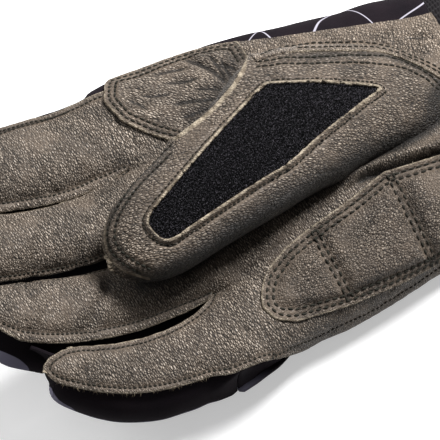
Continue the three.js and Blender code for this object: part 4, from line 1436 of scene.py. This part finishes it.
def make_thumb():
    sheet = Sheet.grid(thumb_grid(-THUMB_LOW_SIDE, THUMB_SEAM_SIDE))
    sheet = sheet.moved(swell(sheet.seen(), THUMB_TUCK))
    sheet = sheet.cut(np.where(sheet.normals()[:, 2] > 0.1, -window_distance(sheet), 1.0))
    cream = outline([(x, y, 4) for x, y in CREAM_REGION])
    overlap = inside_outline(sheet.seen(), cream)
    sheet = sheet.cut(np.where(sheet.normals()[:, 2] > -0.3, -overlap, 1.0))

    def raw(line):
        away = np.abs(inside_outline(line[:, :2], WINDOW_CURVE)) > 0.8
        return (line[:, 0] < 105) & (away | (line[:, 2] < 30))

    edge_field(sheet, parts_of(sheet.edge_lines(), raw))
    window = np.where(sheet.normals()[:, 2] > 0.1, -window_distance(sheet), FAR)
    tip_rows = [seen_on(path, sheet) for path in (TIP_ROW_A, TIP_ROW_B)]
    heavy_rows = [seen_on(path, sheet) for path in (THUMB_ROW_A, THUMB_ROW_B)]
    sheet = sheet.moved(0.7 * (1 - smooth(2.4, sheet.fields["edge"])) + swell(sheet.seen(), CREAM_SWELL))
    tip_rows = relaid(tip_rows, sheet)
    window_rows = [eased_line(line) for line in sheet.contour(window, WINDOW_ROW[0])]
    window_rows = parts_of(window_rows, lambda line: line[:, 2] > 20)
    sheet = wrinkled(sheet, seed=61, turn=-62, deep=0.3, amount=0.8)
    lip = sum(high * np.exp(-(((window - at) / wide) ** 2)) for at, high, wide in (LIP, WINDOW_ROW))
    sheet = sheet.moved(np.where(window < 6, lip, 0))

    seen = sheet.seen()
    uneven = 0.5 * noise(sheet.points, 5.0, 64) - 0.3
    edge = np.minimum(sheet.fields["edge"], window + uneven)
    tip_edge = near_path(seen, TIP_EDGE, 3.0)
    at_tip = np.minimum(edge, lerp(2.4, -0.1, tip_edge))
    at_cream = edge - 1.3 * near_path(seen, CREAM_LINE, 6.0, 0.12)
    sheet.fields["edge"] = np.where(tip_edge > 0.3, at_tip, at_cream)
    # Painted shade under the thumb along its low line, in the fold at its root and along its stitch rows,
    # less a painted highlight on its tip
    low = near_path(seen, THUMB_LOW_LINE, 18.0) * (sheet.normals() @ UP < 0.2)
    shades = [low] + [swell(sheet.seen(), [row]) for row in THUMB_SHADES]
    sheet.fields["painted_light"] = np.maximum.reduce(shades) - swell(sheet.seen(), TIP_GLEAM)

    heavy_rows = relaid(heavy_rows, sheet)
    sheet = sewn(sheet, tip_rows + window_rows + heavy_rows, "thumb", depth=0.4)
    for group, rows in (("thumb", window_rows), ("heavy", heavy_rows), ("tip", tip_rows)):
        seams[group] = [(rows, sheet.bvh())]
    add_piece("thumb_panel", sheet.slab(LEATHER_WALL, 0.3), THUMB_GRAIN, "thumb_leather")
    return sheet


def make_thumb_back():
    """The thumb's hidden side, from the seam at the fork, which it follows inwards, to the low seam."""

    def fork_side(x):
        return THUMB_SEAM_SIDE - 8 - 60 * smooth(12, x - 12) * (1 - smooth(12, x - 62))

    sheet = Sheet.grid(thumb_grid(fork_side, 360 - THUMB_LOW_SIDE + 6, THUMB_TIP_X + 0.8))
    edge_field(sheet, sheet.edge_lines())
    sheet = sheet.moved(swell(sheet.seen(), THUMB_TUCK) - THUMB_BACK_DEPTH)
    sheet = wrinkled(sheet, seed=71, turn=-62, deep=0.3)
    # Painted shade along the folds and round the pucker at the fork
    sheet = folded(sheet, sheet.seen(), PATCH_FOLDS, fold_shade_strength=1.9)
    sheet.fields["painted_light"] = swell(sheet.seen(), PUCKER_SHADE)
    sheet = sewn(sheet, [], "thumb")
    add_piece("thumb_back.leather", sheet.slab(PATCH_WALL, 0.2), PATCH_GRAIN, "thumb_back")


def make_wipe():
    sheet = Sheet.grid(thumb_grid(-80, 70))
    sheet = sheet.cut(window_distance(sheet) + WIPE_MARGIN).moved(-WIPE_DEPTH)
    add_piece("thumb_wipe.fleece", sheet.slab(0.9), FLEECE_LOOK, "thumb_wipe")
    return sheet


thumb = make_thumb()
make_thumb_back()
wipe = make_wipe()
make_base_panel(thumb.bvh())


# The fabric: how many degrees it reaches under the leather, and how deep in mm
UNDER_LEATHER = 9.0
UNDER_INDEX = 32.0
INSET = 0.85
INSET_WIDTH = 7.0


def inset_under(points):
    """How far fabric lies under the leather: most beneath its edge, nothing away from it."""
    distance = beside_lines(points, LEATHER_LINES)[0]
    return -INSET * (1 - smooth(INSET_WIDTH, distance)) - 0.05


def leather_lines():
    """The leather's edges, and three lines inside the one on the upper side of the index finger."""
    lines = [finger_edge(k, side) for k in range(4) for side in (1, -1)]
    x = np.linspace(15, WRIST_X, 160)
    near = x[x < 60]
    for lap in (12, 24, 36):
        lines += [finger_edge(0, 1, lap), palm_point(near, column(PALM, "thumb_edge", near) - lap)]
    lines.append(palm_point(x, column(PALM, "thumb_edge", x)))
    lines.append(palm_point(x, -column(PALM, "little_edge", x)))
    return lines


LEATHER_LINES = leather_lines()


# Shares of a finger's length: where the fabric walls end, and where the closed tip begins
WALL_END = 0.955
TIP_START = 0.945


def finger_back(k):
    """The fabric of one finger: its wall, its closed tip and the line where it joins the hand."""
    f = np.linspace(0, WALL_END, 61)[:, None]
    thumb, little = 180 - leather_edge(k, f, 1), 180 - leather_edge(k, f, -1)
    first, last, count = 180 - leather_edge(k, 0, 1), 180 + leather_edge(k, 0, -1), 40
    if k == 0:
        thumb = leather_edge(0, f, 1) - UNDER_INDEX
        first, last, count = leather_edge(0, 0, 1) - UNDER_INDEX, 180 + PARTING, 54
    if k == 3:
        little = leather_edge(3, f, -1) - UNDER_LEATHER
        first, last, count = 180 - PARTING, 360 - leather_edge(3, 0, -1) + UNDER_LEATHER, 54
    wall = finger_point(k, f, lerp(thumb, 360 - little, np.linspace(0, 1, 45)[None, :]))
    tip = finger_point(k, np.linspace(TIP_START, 1, 16)[:, None], np.linspace(0, 360, 73)[None, :])
    return [wall, tip], finger_point(k, 0.0, np.linspace(first, last, count))


def back_grids():
    grids, front = [], []
    for k in range(4):
        made, line = finger_back(k)
        grids += made
        front.append(line if k == 0 else line[1:])
    front = np.concatenate(front)[::-1]

    def first_edge(x):
        return 360 - column(PALM, "little_edge", x) + UNDER_LEATHER

    def last_edge(x):
        lap = lerp(UNDER_INDEX, UNDER_LEATHER, smooth(25, x - 45))
        return column(PALM, "thumb_edge", x) - lap

    angles = np.linspace(first_edge(front[:1, 0])[0], last_edge(front[-1:, 0])[0], len(front))
    return grids + [hand_grid(front, angles, first_edge, last_edge, 70)]


def make_back():
    sheet = Sheet.grid(*back_grids())
    seen = sheet.seen()
    sheet.fields["under"] = np.maximum(-sheet.normals()[:, 2], swell(seen, LITTLE_PRINT))
    sheet = sheet.moved(inset_under(sheet.points) + swell(seen, WALL_TUCK))
    sheet = sheet.moved(swell(sheet.seen(), INDEX_SWELL + HEEL_SWELL) + swell(seen, BACK_SWELLS))
    free = sheet.points[:, 2] > 1.5
    sheet = sheet.moved(np.where(free, 0.35 * noise(sheet.points, 11.0, 81), 0))
    sheet.points[:, 2] = np.maximum(sheet.points[:, 2], 0.0)
    add_piece("back_of_hand", sheet.slab(1.0), FABRIC_LOOK, "back_shell")


def make_fourchettes():
    """The strips between two fingers, each from one finger's leather down to the back and up to the next."""
    for k, name in enumerate(["index_middle", "middle_ring", "ring_little"]):
        f = np.linspace(0, WALL_END, 61)
        share = np.linspace(0, 1, 29)[None, :]

        def wall(finger, f, side):
            edge = leather_edge(finger, f[:, None], side)
            return finger_point(finger, f[:, None], side * lerp(edge - UNDER_LEATHER, 184 - edge, share))

        sheet = Sheet.grid(np.concatenate([wall(k, f[::-1], -1), wall(k + 1, f[1:], 1)]))
        fork = finger_point(k, 0.0, -leather_edge(k, 0.0, -1))
        sheet.points[:, 2] -= 3.0 * (1 - smooth(8.0, np.linalg.norm(sheet.points - fork, axis=1)))
        sheet = sheet.moved(inset_under(sheet.points))
        sheet = sheet.moved(0.25 * noise(sheet.points, 9.0, 90 + k))
        look = SIDE_LOOK
        if name == "ring_little":
            sheet = sheet.moved(swell(sheet.seen(), RING_SWELL))
            look = FABRIC_LOOK
        sheet.fields["under"] = swell(sheet.seen(), RING_PRINT)
        add_piece("finger_side." + name, sheet.slab(0.9), look, "fourchette_" + name)


RIBS = 96
RIB_DEPTH = 0.35
HEM_LIFT = 0.8
WRIST_TUCK = 1.3
CUFF_START_X = 116.5
CUFF_MIDDLE_Y = 16.0
CUFF_FLATNESS = 0.4


def make_cuff():
    x = np.concatenate([np.linspace(CUFF_START_X, HEM_X, 60), np.linspace(HEM_X + 0.4, CUFF_END_X, 22)])
    sheet = Sheet.grid(palm_point(x[:, None], np.linspace(180, -180, RIBS * 4 + 1)[None, :]))
    around = np.arctan2(sheet.points[:, 2] - MID_HEIGHT, (sheet.points[:, 1] - CUFF_MIDDLE_Y) * CUFF_FLATNESS)
    on_top = sheet.points[:, 2] > 1.0
    ribs = RIB_DEPTH * np.cos(RIBS * around) * np.where(on_top, 1, 0.2)
    hem = HEM_LIFT * smooth(1.0, sheet.points[:, 0] - HEM_X)
    tuck = WRIST_TUCK * (1 - smooth(5.0, sheet.points[:, 0] - WRIST_X))
    soft = 0.6 * noise(sheet.points, 16.0, 97) * on_top
    sheet = sheet.moved(ribs + hem * on_top - tuck + soft)
    sheet.points[:, 2] = np.maximum(sheet.points[:, 2], 0.0)
    add_piece("knit_cuff", sheet.slab(1.7, 0.4), KNIT_LOOK, "cuff")


make_back()
make_fourchettes()
make_cuff()


# Stitches, pile and fuzz
class Tree(Nodes):
    """A Geometry Nodes tree that puts copies of one small shape on points."""

    def __init__(self, name):
        super().__init__(bpy.data.node_groups.new(name, "GeometryNodeTree"))
        for way in ("INPUT", "OUTPUT"):
            self.tree.interface.new_socket("Geometry", in_out=way, socket_type="NodeSocketGeometry")
        self.given = self.add("NodeGroupInput").outputs[0]

    def random_vector(self, reach, seed):
        inputs = {0: tuple(-value for value in reach), 1: reach, "Seed": seed}
        return self.first("FunctionNodeRandomValue", inputs, data_type="FLOAT_VECTOR")

    def aligned(self, way):
        return self.first("FunctionNodeAlignRotationToVector", {"Vector": way}, axis="Z")

    def fibre(self):
        """A thin tapered cone, 1 long and 1 across."""
        shape = {"Vertices": 3, "Radius Top": 0.1, "Radius Bottom": 0.5, "Depth": 1.0}
        return self.add("GeometryNodeMeshCone", shape).outputs["Mesh"]

    def cover(self, points, shape, rotation, thickness, length, material):
        size = self.first("ShaderNodeCombineXYZ", {0: thickness, 1: thickness, 2: length})
        placing = {"Points": points, "Instance": shape, "Rotation": rotation, "Scale": size}
        placed = self.first("GeometryNodeInstanceOnPoints", placing)
        real = self.first("GeometryNodeRealizeInstances", {0: placed})
        painted = self.first("GeometryNodeSetMaterial", {"Geometry": real, "Material": material})
        self.add("NodeGroupOutput", {0: painted})

    def grow(self, name, mesh, node, slot):
        """Runs the tree on a mesh and keeps the result as a plain piece."""
        carrier = link(name + ".path", mesh)
        carrier.modifiers.new("grow", "NODES").node_group = self.tree
        bpy.context.view_layer.update()
        evaluated = carrier.evaluated_get(bpy.context.evaluated_depsgraph_get())
        made = bpy.data.meshes.new_from_object(evaluated)
        made.name = name
        made.shade_smooth()
        bpy.data.objects.remove(carrier)
        attach(link(name, made), node)


def stitch_tree(pitch, length, thickness):
    """Beads along lines, a pitch apart."""
    t = Tree("stitches")
    curve = t.first("GeometryNodeMeshToCurve", {0: t.given})
    spots = t.add("GeometryNodeCurveToPoints", {"Curve": curve, "Length": pitch * MM}, mode="LENGTH").outputs
    bead = t.add("GeometryNodeMeshUVSphere", {"Segments": 6, "Rings": 5, "Radius": 0.5}).outputs["Mesh"]
    t.cover(spots["Points"], bead, t.aligned(spots["Tangent"]), thickness * MM, length * MM, THREAD_LOOK)
    return t


def path_mesh(lines):
    """A mesh of edges along lines, one after another."""
    mesh = bpy.data.meshes.new("path")
    edges, start = [], 0
    for line in lines:
        edges += [(start + i, start + i + 1) for i in range(len(line) - 1)]
        start += len(line)
    mesh.from_pydata(metres(np.concatenate(lines)).tolist(), edges, [])
    return mesh


STITCH_LIFT = 0.08


def add_stitches():
    for group, (pitch, length, thickness, node) in STITCHES.items():
        lines = []
        for rows, bvh in seams[group]:
            lines += [laid_on(even_line(row, 0.5), bvh, STITCH_LIFT) for row in rows if len(row) > 3]
        stitch_tree(pitch, length, thickness).grow("stitches_" + group, path_mesh(lines), node, "thread")


add_stitches()

# The fleece's pile: fibres for each square millimetre, their size in mm, and how far they lean in radians
PILE_DENSITY = 9.0
PILE_LENGTH = 0.8
PILE_THICKNESS = 0.16
PILE_LEAN = (0.7, 0.7, 3.0)
PILE_MARGIN = 0.6


def add_pile():
    t = Tree("pile")
    spread = {"Mesh": t.given, "Density": PILE_DENSITY / MM**2, "Seed": 4}
    spots = t.add("GeometryNodeDistributePointsOnFaces", spread).outputs
    tilt = t.first("FunctionNodeEulerToRotation", {0: t.random_vector(PILE_LEAN, 9)})
    turning = {0: spots["Rotation"], 1: tilt}
    turn = t.first("FunctionNodeRotateRotation", turning, rotation_space="LOCAL")
    t.cover(spots["Points"], t.fibre(), turn, PILE_THICKNESS * MM, PILE_LENGTH * MM, PILE_LOOK)
    shown = wipe.cut(window_distance(wipe) + PILE_MARGIN)
    mesh = bpy.data.meshes.new("pile")
    mesh.from_pydata(metres(shown.points).tolist(), [], shown.faces.tolist())
    t.grow("wipe_pile", mesh, "thumb_wipe", "fleece")


add_pile()

# Fuzz on raw edges: the fibres' size in mm and their spread, then where it grows, as a path in the picture,
# its width in px and the fibres for each millimetre of edge
FUZZ_LENGTH = 1.1
FUZZ_THICKNESS = 0.1
FUZZ_SPREAD = 0.7
FUZZY_EDGES = {
    "palm": ([(50, 384), (80, 394), (120, 398), (165, 397), (205, 386)], 10.0, 3.5),
    "thumb": ([(100, 236), (104, 250), (115, 264), (132, 273), (148, 277)], 10.0, 5.0),
}


def fuzz_tree():
    """Fibres on points, each along the point's own direction with some spread."""
    t = Tree("fuzz")
    out = t.first("GeometryNodeInputNamedAttribute", {"Name": "out"}, data_type="FLOAT_VECTOR")
    way = t.vector("ADD", out, t.random_vector((FUZZ_SPREAD,) * 3, 5))
    share = t.add("FunctionNodeRandomValue", {2: 0.4, 3: 1.4, "Seed": 8}, data_type="FLOAT").outputs[1]
    length = t.times(share, FUZZ_LENGTH * MM)
    t.cover(t.given, t.fibre(), t.aligned(way), FUZZ_THICKNESS * MM, length, FUZZ_LOOK)
    return t


def add_fuzz():
    rng = np.random.default_rng(12)
    tree = fuzz_tree()
    for name, sheet in (("palm", palm), ("thumb", thumb)):
        rim = sheet.rim()
        first, last = sheet.points[rim[:, 0]], sheet.points[rim[:, 1]]
        normals = sheet.normals()[rim[:, 0]]
        out = unit(np.cross(last - first, normals))
        path, width, per_mm = FUZZY_EDGES[name]
        density = per_mm * near_path(in_view(first), path, width)
        count = rng.poisson(density * np.linalg.norm(last - first, axis=1))
        at = np.repeat(np.arange(len(rim)), count)
        share, drop = rng.random((2, len(at), 1))
        mesh = bpy.data.meshes.new("fuzz")
        mesh.from_pydata(metres(lerp(first[at], last[at], share) - normals[at] * drop).tolist(), [], [])
        ways = mesh.attributes.new("out", "FLOAT_VECTOR", "POINT")
        ways.data.foreach_set("vector", (out[at] - 0.2 * normals[at]).ravel().astype(np.float32))
        tree.grow("fuzz_" + name, mesh, name + "_leather", "leather")


add_fuzz()


# Floor and light
KEY_TURN = radians(28.0)
KEY_RISE = radians(55.0)
KEY_DISTANCE = 1.3
KEY_FLAT = KEY_DISTANCE * cos(KEY_RISE)
KEY_PLACE = (KEY_FLAT * cos(KEY_TURN), KEY_FLAT * sin(KEY_TURN), KEY_DISTANCE * sin(KEY_RISE))
KEY_POWER = 43.0
SIDE_PLACE = (-0.9, 0.6, 0.9)
SIDE_POWER = 8.0
SKY_STRENGTH = 0.17
FLOOR_GLOW = 0.43


def add_floor():
    bpy.ops.mesh.primitive_plane_add(size=4.0, location=(0, 0, -0.0002))
    floor = bpy.context.object
    floor.name = "floor"
    f = Finish("floor")
    f.set(Base_Color=(0.7, 0.7, 0.7), Roughness=0.9, Specular_IOR_Level=0.05)
    f.set(Emission_Color=(1.0, 1.0, 1.0), Emission_Strength=FLOOR_GLOW)
    floor.data.materials.append(f.material)
    floor.visible_diffuse = False


def add_light(name, position, size, watts):
    data = bpy.data.lights.new(name, "AREA")
    data.size = size
    data.energy = watts
    lamp = link(name, data)
    lamp.location = position
    lamp.rotation_euler = (-Vector(position)).to_track_quat("-Z", "Y").to_euler()


def add_sky():
    world = bpy.data.worlds.new("studio")
    bpy.context.scene.world = world
    world.use_nodes = True
    sky = world.node_tree.nodes["Background"].inputs
    sky["Color"].default_value = (1, 1, 1, 1)
    sky["Strength"].default_value = SKY_STRENGTH


add_floor()
add_light("key", KEY_PLACE, 0.5, KEY_POWER)
add_light("side", SIDE_PLACE, 0.8, SIDE_POWER)
add_sky()
bpy.context.scene.view_settings.view_transform = "Standard"
